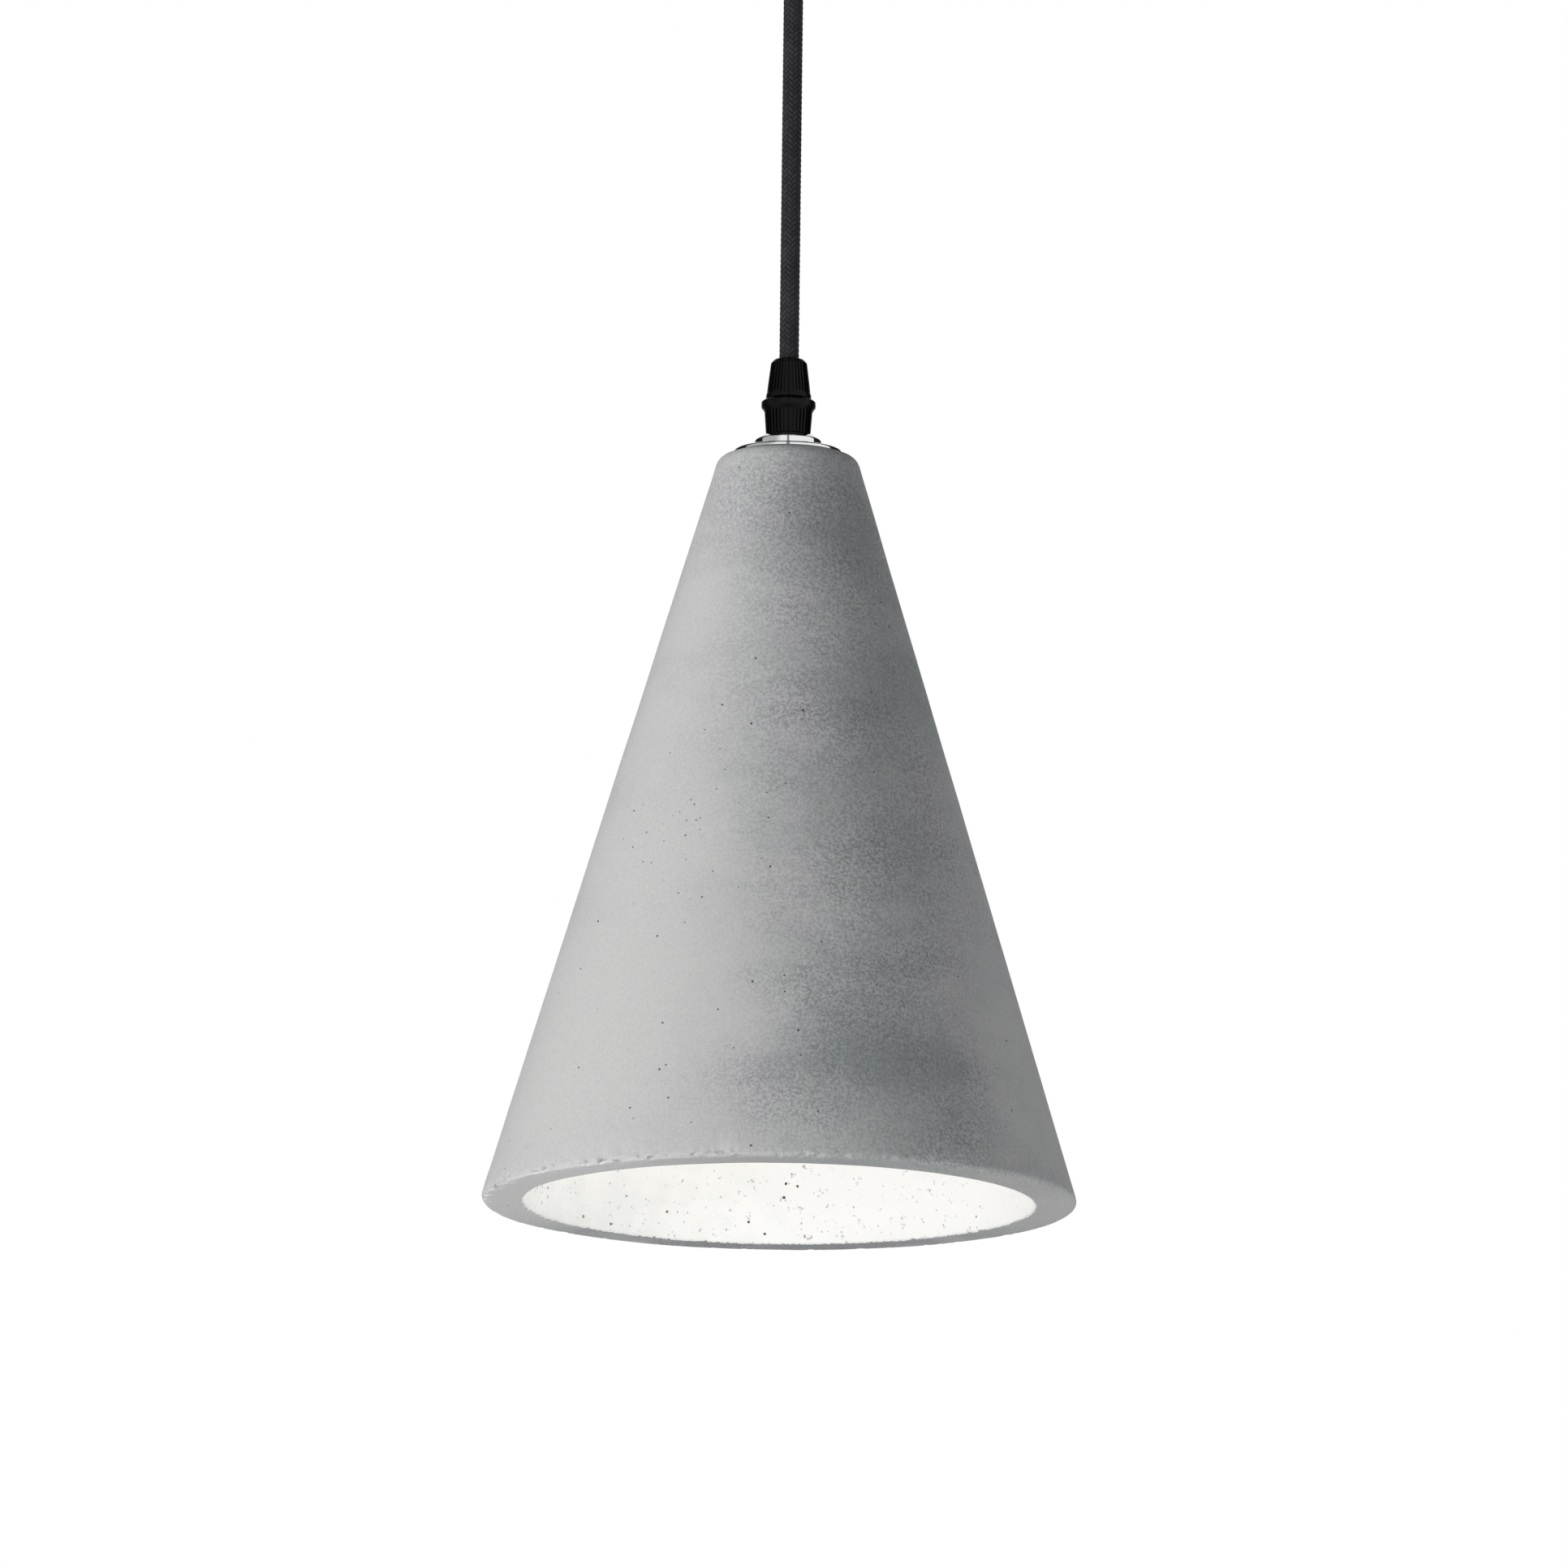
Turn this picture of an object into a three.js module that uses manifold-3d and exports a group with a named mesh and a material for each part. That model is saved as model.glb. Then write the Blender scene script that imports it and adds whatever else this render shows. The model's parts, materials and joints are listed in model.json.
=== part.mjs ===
// A pendant ceiling light: a thick-walled cast concrete cone that hangs on a round textile cord.
//
// Millimetres, +Z up. The origin is on the ceiling, at the middle of the ceiling bracket's top face.
// The light hangs along -Z and its front faces -Y. From the top it is made of
//   - the ceiling fitting: bracket, terminal block, canopy, side screws and the upper cord grip
//   - the cord
//   - the pendant: lower cord grip, chrome fitting, concrete shade and lampholder
//   - the bulb.

import * as THREE from 'three';
import { mergeVertices } from 'three/addons/utils/BufferGeometryUtils.js';
import Module from 'manifold-3d';

const wasm = await Module();
wasm.setup();

// ---------------------------------------------------------------- driving dimensions

const GAP = 0.3; // left between pieces that touch

// Concrete shade. The corner radii are those of the sharp cone, before its edges are rounded.
const SHADE_HEIGHT = 245;
const SHADE_RIM_RADIUS = 96.15;
const SHADE_TOP_RADIUS = 22.2;
const SHADE_WALL = 14.15; // measured level
const SHADE_CROWN = 23; // solid concrete above the hollow
const SHADE_RIM_ROUNDING = 3;
const SHADE_TOP_ROUNDING = 5;

// Cord and its run between the two cord grips
const CORD_RADIUS = 3.2;
const CORD_SPAN = 123.6;
const CORD_SIDES = 12;
const CORD_STEP = 16;
const WIRE_RADIUS = 1;

// M10 lamp thread, used by both nipples
const NIPPLE_RADIUS = 4.9;
const NIPPLE_BORE = 3.9;
const NIPPLE_HOLE = 5.3;
const NUT_ACROSS_FLATS = 14;
const NUT_HEIGHT = 4;

// Two-part plastic cord grip, from its base up
const GRIP_BASE_RADIUS = 7.2;
const GRIP_WAIST_RADIUS = 7.75;
const GRIP_WAIST_HEIGHT = 7.8;
const GRIP_COLLAR_RADIUS = 8.8;
const GRIP_BODY_HEIGHT = 11.8;
const GRIP_HEIGHT = 25.2;
const GRIP_CAP_RADIUS = 7.3;
const GRIP_SHOULDER_RADIUS = 6.1;
const GRIP_MOUTH_RADIUS = 3.9;
const GRIP_THREAD_DEPTH = 8.6;

// Chrome fitting on top of the shade
const BOSS_RADIUS = 10.9;
const BOSS_HEIGHT = 4.6;
const BOSS_SIDE = 2.9; // height of its upright side
const FLANGE_RADIUS = 17.7;
const FLANGE_THICKNESS = 1.5;

// Ceiling fitting
const CANOPY_RADIUS = 50;
const CANOPY_HEIGHT = 28;
const CANOPY_WALL = 1.2;
const BRACKET_LENGTH = 94;
const BRACKET_WIDTH = 22;
const BRACKET_THICKNESS = 2;
const EAR_WIDTH = 16;
const EAR_DEPTH = 15;
const SLOT_CENTRE = 35;
const SLOT_LENGTH = 12;
const SLOT_WIDTH = 4.5;
const SIDE_SCREW_DROP = 9; // side screws, below the ceiling
const SIDE_SCREW_RADIUS = 1.7;
const EARTH_SCREW_X = -18;
const BLOCK_X = 17;
const BLOCK_LENGTH = 16;
const BLOCK_WIDTH = 19;
const BLOCK_HEIGHT = 11.2;
const POLE_SPACING = 10;

// Lampholder and bulb
const HOLDER_RADIUS = 20.5;
const HOLDER_NECK_RADIUS = 8.5;
const HOLDER_CAP_HEIGHT = 30;
const SKIRT_RADIUS = 19.5;
const SKIRT_LENGTH = 29;
const INSERT_RADIUS = 16.4;
const INSERT_HEIGHT = 9.7;
const SHELL_RADIUS = 14.5;
const SHELL_BORE = 13.9;
const BULB_CAP_RADIUS = 13.2;
const BULB_CAP_LENGTH = 19.7;
const BULB_THREAD_PITCH = 3.63;
const BULB_RADIUS = 30;
const BULB_LENGTH = 108;
const BULB_NECK_RADIUS = 24.5;

// ---------------------------------------------------------------- heights that follow from them

const CANOPY_BOTTOM = -CANOPY_HEIGHT;
const UPPER_GRIP_BASE = CANOPY_BOTTOM - GAP;
const CORD_TOP = UPPER_GRIP_BASE - GRIP_HEIGHT; // the cord leaves the upper grip here
const CORD_BOTTOM = CORD_TOP - CORD_SPAN; // and enters the lower grip here
const LOWER_GRIP_BASE = CORD_BOTTOM - GRIP_HEIGHT;
const BOSS_TOP = LOWER_GRIP_BASE - GAP;
const FLANGE_TOP = BOSS_TOP - BOSS_HEIGHT - GAP;
const SHADE_TOP = FLANGE_TOP - FLANGE_THICKNESS - GAP;
const SHADE_RIM = SHADE_TOP - SHADE_HEIGHT;
const CROWN_BOTTOM = SHADE_TOP - SHADE_CROWN;
const PAD_THICKNESS = 2;
const WASHER_THICKNESS = 1.5;
const PAD_TOP = CROWN_BOTTOM - GAP;
const WASHER_TOP = PAD_TOP - PAD_THICKNESS - GAP;
const LOWER_NUT_TOP = WASHER_TOP - WASHER_THICKNESS - GAP;
const HOLDER_TOP = LOWER_NUT_TOP - NUT_HEIGHT - GAP;
const SKIRT_TOP = HOLDER_TOP - HOLDER_CAP_HEIGHT - GAP;
const INSERT_TOP = HOLDER_TOP - 24.3;
const INSERT_BOTTOM = INSERT_TOP - INSERT_HEIGHT;
const BULB_TOP = INSERT_BOTTOM - 3;
const SHADE_SLOPE = (SHADE_RIM_RADIUS - SHADE_TOP_RADIUS) / SHADE_HEIGHT;

const light = new THREE.Group();

// ---------------------------------------------------------------- geometry helpers

// The arc that rounds one corner of an outline.
function cornerArc(before, corner, after, radius) {
  const back = before.clone().sub(corner).normalize();
  const ahead = after.clone().sub(corner).normalize();
  const half = Math.acos(THREE.MathUtils.clamp(back.dot(ahead), -1, 1)) / 2;
  const centre = back.clone().add(ahead).normalize().multiplyScalar(radius / Math.sin(half)).add(corner);
  const start = back.multiplyScalar(radius / Math.tan(half)).add(corner).sub(centre);
  const end = ahead.multiplyScalar(radius / Math.tan(half)).add(corner).sub(centre);
  const sweep = Math.atan2(start.cross(end), start.dot(end));
  const steps = Math.min(3, Math.ceil(radius)); // a small rounding is a plain chamfer
  const points = [];
  for (let i = 0; i <= steps; i += 1) {
    const turned = start.clone().rotateAround(new THREE.Vector2(), (sweep * i) / steps);
    points.push(turned.add(centre));
  }
  return points;
}

// Corners are [x, y] or [x, y, rounding radius].
function roundedOutline(corners) {
  const vectors = corners.map(([x, y]) => new THREE.Vector2(x, y));
  const points = [];
  corners.forEach(([, , radius = 0], i) => {
    if (radius === 0) {
      points.push(vectors[i]);
      return;
    }
    const before = vectors.at(i - 1);
    const after = vectors[(i + 1) % vectors.length];
    points.push(...cornerArc(before, vectors[i], after, radius));
  });
  return points;
}

// A turned piece about Z. Corners are [radius, height, rounding], anticlockwise with the axis on the
// left. An outline that starts on the axis also ends on it; any other closes on itself.
function turned(corners, segments) {
  const points = roundedOutline(corners);
  if (corners[0][0] > 0) {
    points.push(points[0].clone());
  }
  const geometry = new THREE.LatheGeometry(points, segments);
  geometry.rotateX(Math.PI / 2);
  return geometry;
}

// A flat ring or disc with a hole, lying between two heights.
function ring(outer, hole, top, bottom, rounding, segments) {
  return turned([
    [hole, bottom],
    [outer, bottom, rounding],
    [outer, top, rounding],
    [hole, top],
  ], segments);
}

function cylinder(radius, top, bottom, segments) {
  const geometry = new THREE.CylinderGeometry(radius, radius, top - bottom, segments);
  geometry.rotateX(Math.PI / 2);
  geometry.translate(0, 0, (top + bottom) / 2);
  return geometry;
}

function box(low, high) {
  const size = high.map((value, i) => value - low[i]);
  const middle = high.map((value, i) => (value + low[i]) / 2);
  return new THREE.BoxGeometry(...size).translate(...middle);
}

// A round tube or wire along a smooth curve through the given points.
function tubeAlong(points, radius, sides, steps) {
  const section = new THREE.Shape();
  for (let i = 0; i < sides; i += 1) {
    const angle = (2 * Math.PI * i) / sides;
    const point = [radius * Math.cos(angle), radius * Math.sin(angle)];
    if (i === 0) {
      section.moveTo(...point);
    } else {
      section.lineTo(...point);
    }
  }
  section.closePath();
  const path = new THREE.CatmullRomCurve3(points.map((point) => new THREE.Vector3(...point)));
  return new THREE.ExtrudeGeometry(section, { steps, extrudePath: path, bevelEnabled: false });
}

// A closed mesh as a solid that can be joined and cut.
function solidOf(geometry) {
  const bare = geometry.clone();
  bare.deleteAttribute('normal');
  bare.deleteAttribute('uv');
  const merged = mergeVertices(bare, 1e-4);
  const corners = merged.index.array;
  const kept = [];
  for (let i = 0; i < corners.length; i += 3) {
    const [a, b, c] = corners.slice(i, i + 3);
    if (a !== b && b !== c && c !== a) {
      kept.push(a, b, c);
    }
  }
  const vertProperties = new Float32Array(merged.attributes.position.array);
  return new wasm.Manifold(new wasm.Mesh({ numProp: 3, vertProperties, triVerts: new Uint32Array(kept) }));
}

function geometryOf(solid) {
  const mesh = solid.getMesh();
  const geometry = new THREE.BufferGeometry();
  geometry.setAttribute('position', new THREE.BufferAttribute(mesh.vertProperties, 3));
  geometry.setIndex(new THREE.BufferAttribute(mesh.triVerts, 1));
  geometry.computeVertexNormals();
  return geometry;
}

function cut(geometry, ...tools) {
  return geometryOf(tools.reduce((solid, tool) => solid.subtract(solidOf(tool)), solidOf(geometry)));
}

function join(geometry, ...others) {
  return geometryOf(others.reduce((solid, other) => solid.add(solidOf(other)), solidOf(geometry)));
}

function add(name, geometry, material) {
  const mesh = new THREE.Mesh(geometry, material);
  mesh.name = name;
  light.add(mesh);
  return mesh;
}

// ---------------------------------------------------------------- materials

function finish(color, roughness, metalness) {
  return new THREE.MeshStandardMaterial({ color, roughness, metalness });
}

const concrete = () => finish(0xa6a8a9, 0.9, 0);
const chrome = () => finish(0xd9dadc, 0.08, 1);
const blackPlastic = () => finish(0x161617, 0.5, 0);
const textile = () => finish(0x2c2c30, 0.95, 0);
const zincSteel = () => finish(0xb4b6b8, 0.35, 1);
const brass = () => finish(0xc2a05a, 0.3, 1);
const nylon = () => finish(0xe6e4dc, 0.5, 0);
const rubber = () => finish(0x2a2a2a, 0.85, 0);
const phenolic = () => finish(0x1b1a19, 0.35, 0);
const porcelain = () => finish(0xeeece4, 0.25, 0);
const brownWire = () => finish(0x6a3f22, 0.5, 0);
const blueWire = () => finish(0x2b5fa8, 0.5, 0);
const opal = () => finish(0xf7f6f0, 0.4, 0);
const whitePlastic = () => finish(0xf0efeb, 0.45, 0);
const circuitBoard = () => finish(0xd8dcd8, 0.5, 0.1);
const vitrite = () => finish(0x101012, 0.15, 0);

// ---------------------------------------------------------------- parts used twice

// The body of a cord grip stands on its base at z = 0. Its lower bore takes the nipple's thread, and
// a sleeve of clamping fingers rises from its collar into the cap.
function gripBody() {
  const collarTop = GRIP_BODY_HEIGHT - 0.5;
  return turned([
    [5.2, 0],
    [GRIP_BASE_RADIUS, 0, 0.3],
    [GRIP_WAIST_RADIUS, GRIP_WAIST_HEIGHT],
    [GRIP_COLLAR_RADIUS, GRIP_WAIST_HEIGHT + 1.1],
    [GRIP_COLLAR_RADIUS, collarTop - 0.7],
    [GRIP_COLLAR_RADIUS - 0.6, collarTop],
    [5, collarTop],
    [5, 18],
    [4.5, 19.4],
    [3.6, 19.4],
    [3.6, GRIP_THREAD_DEPTH],
    [5.2, GRIP_THREAD_DEPTH],
  ], 24);
}

// The cap closes over the fingers. The cord leaves it through a mouth whose edge is eased.
function gripCap() {
  const foot = GRIP_BODY_HEIGHT;
  return turned([
    [5.4, foot],
    [GRIP_CAP_RADIUS, foot, 0.2],
    [GRIP_CAP_RADIUS, foot + 1.8],
    [GRIP_SHOULDER_RADIUS, GRIP_HEIGHT - 1.9, 0.6],
    [GRIP_MOUTH_RADIUS, GRIP_HEIGHT],
    [3.6, GRIP_HEIGHT - 0.9],
    [3.6, GRIP_HEIGHT - 4.2],
    [5.4, GRIP_HEIGHT - 6.4],
  ], 24);
}

// A hexagon nut on the lamp thread.
function hexNut(top) {
  const hexagon = new THREE.Shape();
  const corner = NUT_ACROSS_FLATS / Math.sqrt(3);
  for (let i = 0; i < 6; i += 1) {
    const angle = (Math.PI * i) / 3;
    const point = [corner * Math.cos(angle), corner * Math.sin(angle)];
    if (i === 0) {
      hexagon.moveTo(...point);
    } else {
      hexagon.lineTo(...point);
    }
  }
  const block = new THREE.ExtrudeGeometry(hexagon, { depth: NUT_HEIGHT, bevelEnabled: false });
  block.translate(0, 0, top - NUT_HEIGHT);
  const chamfer = turned([
    [0, top - NUT_HEIGHT - 1],
    [corner - 0.4, top - NUT_HEIGHT - 1],
    [corner + 0.1, top - NUT_HEIGHT + 0.6],
    [corner + 0.1, top - 0.6],
    [corner - 0.4, top + 1],
    [0, top + 1],
  ], 24);
  const faced = solidOf(block).intersect(solidOf(chamfer));
  return geometryOf(faced.subtract(solidOf(cylinder(NIPPLE_HOLE, top + 1, top - NUT_HEIGHT - 1, 20))));
}

function nipple(top, bottom) {
  return ring(NIPPLE_RADIUS, NIPPLE_BORE, top, bottom, 0.4, 20);
}

// A slotted cheese-head screw that stands on its tip at z = 0, head up.
function slottedScrew(shankRadius, shankLength, headRadius, headHeight) {
  const top = shankLength + headHeight;
  const blank = turned([
    [0, 0],
    [shankRadius, 0],
    [shankRadius, shankLength],
    [headRadius, shankLength],
    [headRadius, top, 0.4],
    [0, top],
  ], 12);
  const slot = box([-headRadius - 1, -0.35, top - 0.7], [headRadius + 1, 0.35, top + 1]);
  return cut(blank, slot);
}

// ---------------------------------------------------------------- ceiling fitting

// A steel strap against the ceiling, with an ear bent down at each end for a side screw.
function ceilingBracket() {
  const end = BRACKET_LENGTH / 2;
  const strap = box(
    [-end, -BRACKET_WIDTH / 2, -BRACKET_THICKNESS],
    [end, BRACKET_WIDTH / 2, 0],
  );
  const ears = [-1, 1].map((side) => {
    const inner = side * (end - BRACKET_THICKNESS);
    const outer = side * end;
    return box(
      [Math.min(inner, outer), -EAR_WIDTH / 2, -EAR_DEPTH],
      [Math.max(inner, outer), EAR_WIDTH / 2, -BRACKET_THICKNESS / 2],
    );
  });
  const slots = [-1, 1].map((side) => {
    const outline = new THREE.Shape();
    const reach = (SLOT_LENGTH - SLOT_WIDTH) / 2;
    outline.absarc(reach, 0, SLOT_WIDTH / 2, -Math.PI / 2, Math.PI / 2);
    outline.absarc(-reach, 0, SLOT_WIDTH / 2, Math.PI / 2, (3 * Math.PI) / 2);
    const slot = new THREE.ExtrudeGeometry(outline, { depth: 6, bevelEnabled: false, curveSegments: 8 });
    return slot.translate(side * SLOT_CENTRE, 0, -4);
  });
  const threads = cylinder(SIDE_SCREW_RADIUS + GAP, end + 2, -end - 2, 12);
  threads.rotateY(Math.PI / 2);
  threads.translate(0, 0, -SIDE_SCREW_DROP);
  const earthHole = cylinder(1.9, 1, -3, 12).translate(EARTH_SCREW_X, 0, 0);
  const blockHole = cylinder(1.8, 1, -3, 12).translate(BLOCK_X, 0, 0);
  return cut(join(strap, ...ears), ...slots, threads, earthHole, blockHole);
}

// The cup that hides the bracket and the wiring.
function canopy() {
  const inner = CANOPY_RADIUS - CANOPY_WALL;
  const floor = CANOPY_BOTTOM + CANOPY_WALL;
  const cup = turned([
    [NIPPLE_HOLE, CANOPY_BOTTOM],
    [CANOPY_RADIUS, CANOPY_BOTTOM, 5],
    [CANOPY_RADIUS, -GAP],
    [inner, -GAP],
    [inner, floor, 5 - CANOPY_WALL],
    [NIPPLE_HOLE, floor],
  ], 48);
  const screwHoles = cylinder(SIDE_SCREW_RADIUS + 0.4, CANOPY_RADIUS + 5, -CANOPY_RADIUS - 5, 12);
  screwHoles.rotateY(Math.PI / 2);
  screwHoles.translate(0, 0, -SIDE_SCREW_DROP);
  return cut(cup, screwHoles);
}

// A thumb screw with its tip towards the middle of the canopy; side is -1 for left and 1 for right.
function sideScrew(side) {
  const headStart = CANOPY_RADIUS + GAP;
  const tip = BRACKET_LENGTH / 2 - BRACKET_THICKNESS - 2;
  const screw = turned([
    [0, tip],
    [SIDE_SCREW_RADIUS, tip, 0.4],
    [SIDE_SCREW_RADIUS, headStart],
    [4, headStart, 0.4],
    [4, headStart + 5, 0.8],
    [0, headStart + 5],
  ], 16);
  screw.rotateY((side * Math.PI) / 2);
  return screw.translate(0, 0, -SIDE_SCREW_DROP);
}

// The two-pole terminal block hangs under the strap. Its wires go in along X and its clamping
// screws are reached from below.
function terminalBlock() {
  const half = BLOCK_WIDTH / 2;
  const outline = new THREE.Shape(roundedOutline([
    [-half, -BLOCK_HEIGHT, 1.5],
    [-2, -BLOCK_HEIGHT, 0.5],
    [-1, 1.6 - BLOCK_HEIGHT],
    [1, 1.6 - BLOCK_HEIGHT],
    [2, -BLOCK_HEIGHT, 0.5],
    [half, -BLOCK_HEIGHT, 1.5],
    [half, 0, 1],
    [-half, 0, 1],
  ]));
  const block = new THREE.ExtrudeGeometry(outline, { depth: BLOCK_LENGTH, bevelEnabled: false });
  block.applyMatrix4(new THREE.Matrix4().set(
    0, 0, 1, BLOCK_X - BLOCK_LENGTH / 2,
    1, 0, 0, 0,
    0, 1, 0, -BRACKET_THICKNESS - GAP,
    0, 0, 0, 1,
  ));
  const tools = [cylinder(1.8, 0, -20, 12).translate(BLOCK_X, 0, 0)];
  for (const side of [-1, 1]) {
    const bore = cylinder(1.7, BLOCK_X + BLOCK_LENGTH, 0, 12).rotateY(Math.PI / 2);
    tools.push(bore.translate(0, (side * POLE_SPACING) / 2, -8));
    tools.push(cylinder(2.2, -8, -20, 12).translate(BLOCK_X, (side * POLE_SPACING) / 2, 0));
  }
  return cut(block, ...tools);
}

// A clamping screw in the block, slot down.
function clampScrew(side) {
  const screw = slottedScrew(1.4, 1.6, 1.8, 2);
  screw.rotateX(Math.PI);
  return screw.translate(BLOCK_X, (side * POLE_SPACING) / 2, -9.3);
}

function buildCeilingFitting() {
  add('ceiling_bracket', ceilingBracket(), zincSteel());
  const washer = ring(3.8, 1.9, -BRACKET_THICKNESS - GAP, -BRACKET_THICKNESS - GAP - 0.8, 0, 16);
  add('earth_washer', washer.translate(EARTH_SCREW_X, 0, 0), brass());
  const earthScrew = slottedScrew(1.6, 3.1, 3.3, 2).rotateX(Math.PI);
  add('earth_screw', earthScrew.translate(EARTH_SCREW_X, 0, -0.3), brass());
  add('terminal_block', terminalBlock(), nylon());
  const blockScrewLength = BRACKET_THICKNESS + BLOCK_HEIGHT + 0.1;
  const blockScrew = slottedScrew(1.5, blockScrewLength, 2.5, 1.6).rotateX(Math.PI);
  add('terminal_block_screw', blockScrew.translate(BLOCK_X, 0, -0.5), zincSteel());
  add('terminal_screw_live', clampScrew(-1), brass());
  add('terminal_screw_neutral', clampScrew(1), brass());
  add('canopy', canopy(), chrome());
  add('canopy_screw_left', sideScrew(-1), chrome());
  add('canopy_screw_right', sideScrew(1), chrome());
  add('canopy_nipple', nipple(-19, UPPER_GRIP_BASE - GRIP_THREAD_DEPTH + GAP), zincSteel());
  add('canopy_nut', hexNut(CANOPY_BOTTOM + CANOPY_WALL + GAP + NUT_HEIGHT), zincSteel());
  for (const [name, shape] of [['canopy_grip_body', gripBody()], ['canopy_grip_cap', gripCap()]]) {
    const piece = add(name, shape, blackPlastic());
    piece.rotation.x = Math.PI;
    piece.position.z = UPPER_GRIP_BASE;
  }
}

// ---------------------------------------------------------------- cord and wires

// The free cord hangs straight between the grips. Each end is a half ball about the point where it
// bends, inside the mouth of a grip, so that the cord can swing there.
function freeCord() {
  const run = [[0, 0, CORD_TOP], [0, 0, (CORD_TOP + CORD_BOTTOM) / 2], [0, 0, CORD_BOTTOM]];
  const tube = tubeAlong(run, CORD_RADIUS, CORD_SIDES, Math.round(CORD_SPAN / CORD_STEP));
  const ends = [CORD_TOP, CORD_BOTTOM].map((z) => {
    const ball = new THREE.SphereGeometry(CORD_RADIUS, CORD_SIDES, 8);
    return ball.rotateX(Math.PI / 2).translate(0, 0, z);
  });
  return join(tube, ...ends);
}

// A conductor leaves the cord's stripped end at (0, side, start) and ends inside a terminal.
function conductor(route) {
  return tubeAlong(route, WIRE_RADIUS, 8, 10);
}

function buildCord() {
  const clear = CORD_RADIUS + GAP;
  const topEnd = -15.5;
  const bottomEnd = HOLDER_TOP - 10;
  add('cord', freeCord(), textile());
  add('cord_tail_top', cylinder(CORD_RADIUS, topEnd, CORD_TOP + clear, CORD_SIDES), textile());
  add('cord_tail_bottom', cylinder(CORD_RADIUS, CORD_BOTTOM - clear, bottomEnd, CORD_SIDES), textile());
  const pole = POLE_SPACING / 2;
  const leads = [['live', -1, brownWire], ['neutral', 1, blueWire]];
  for (const [name, side, insulation] of leads) {
    add(`${name}_wire_top`, conductor([
      [0, side * 1.4, topEnd + GAP],
      [0.3, side * 1.7, topEnd + 2.5],
      [2.4, side * 2.6, -9.2],
      [7, side * pole, -8],
      [10, side * pole, -8],
      [BLOCK_X + 1, side * pole, -8],
    ]), insulation());
    add(`${name}_wire_bottom`, conductor([
      [0, side * 1.4, bottomEnd - GAP],
      [side * 0.2, side * 2, bottomEnd - 2.5],
      [side * 1.4, side * 5.2, bottomEnd - 6],
      [side * 3.4, side * 7.2, bottomEnd - 9.4],
      [side * 6, side * 4.2, INSERT_TOP + GAP + WIRE_RADIUS + 0.1],
    ]), insulation());
  }
}

// ---------------------------------------------------------------- pendant

// The cast cone. Its wall is as thick all the way down, and its crown is solid but for the bore.
function shade() {
  const innerRim = SHADE_RIM_RADIUS - SHADE_WALL;
  const innerTop = innerRim - SHADE_SLOPE * (SHADE_HEIGHT - SHADE_CROWN);
  return turned([
    [innerRim, SHADE_RIM, 1.5],
    [SHADE_RIM_RADIUS, SHADE_RIM, SHADE_RIM_ROUNDING],
    [SHADE_TOP_RADIUS, SHADE_TOP, SHADE_TOP_ROUNDING],
    [NIPPLE_HOLE, SHADE_TOP],
    [NIPPLE_HOLE, CROWN_BOTTOM],
    [innerTop, CROWN_BOTTOM, 3],
  ], 60);
}

// A low chrome dome between the cord grip and the flange.
function boss() {
  const bottom = BOSS_TOP - BOSS_HEIGHT;
  return turned([
    [NIPPLE_HOLE, bottom],
    [BOSS_RADIUS, bottom],
    [BOSS_RADIUS, bottom + BOSS_SIDE, 0.9],
    [7.9, BOSS_TOP, 1.8],
    [NIPPLE_HOLE, BOSS_TOP],
  ], 36);
}

// The lampholder's cap: a neck on the nipple that opens into a shell over the insert.
function holderCap() {
  const bottom = HOLDER_TOP - HOLDER_CAP_HEIGHT;
  return turned([
    [HOLDER_RADIUS - 2.1, bottom],
    [HOLDER_RADIUS, bottom, 0.4],
    [HOLDER_RADIUS, HOLDER_TOP - 21, 8],
    [HOLDER_NECK_RADIUS, HOLDER_TOP - 10.5, 3],
    [HOLDER_NECK_RADIUS, HOLDER_TOP, 0.8],
    [5.2, HOLDER_TOP],
    [5.2, HOLDER_TOP - 9],
    [7.4, HOLDER_TOP - 12.6],
    [HOLDER_RADIUS - 2.1, HOLDER_TOP - 22.3, 2],
  ], 28);
}

// The skirt screws up to the cap and turns in at its foot around the bulb's cap.
function holderSkirt() {
  const bottom = SKIRT_TOP - SKIRT_LENGTH;
  return turned([
    [15, bottom],
    [SKIRT_RADIUS, bottom, 0.8],
    [SKIRT_RADIUS, SKIRT_TOP, 0.4],
    [SKIRT_RADIUS - 1.8, SKIRT_TOP],
    [SKIRT_RADIUS - 1.8, bottom + 2.2],
    [15, bottom + 2.2],
  ], 28);
}

// The insulating disc that carries the terminals above and the contacts below.
function holderInsert() {
  const disc = turned([
    [0, INSERT_BOTTOM],
    [INSERT_RADIUS, INSERT_BOTTOM],
    [INSERT_RADIUS, INSERT_TOP, 1],
    [0, INSERT_TOP],
  ], 24);
  const holes = [-1, 1].map((side) => {
    return cylinder(1.8, INSERT_TOP + 1, INSERT_TOP - 6, 12).translate(side * 8, 0, 0);
  });
  return cut(disc, ...holes);
}

// A sprung brass strip that presses on the bulb's centre contact.
function centreContact() {
  const high = INSERT_BOTTOM - GAP;
  const low = BULB_TOP + GAP;
  const strip = new THREE.Shape(roundedOutline([
    [-9, high - 0.5],
    [-4, high - 0.5],
    [-1.5, low],
    [5, low],
    [5, low + 0.5],
    [-1, low + 0.5],
    [-3.6, high],
    [-9, high],
  ]));
  const bar = new THREE.ExtrudeGeometry(strip, { depth: 6, bevelEnabled: false });
  return bar.translate(0, 0, -3).rotateX(Math.PI / 2);
}

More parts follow.
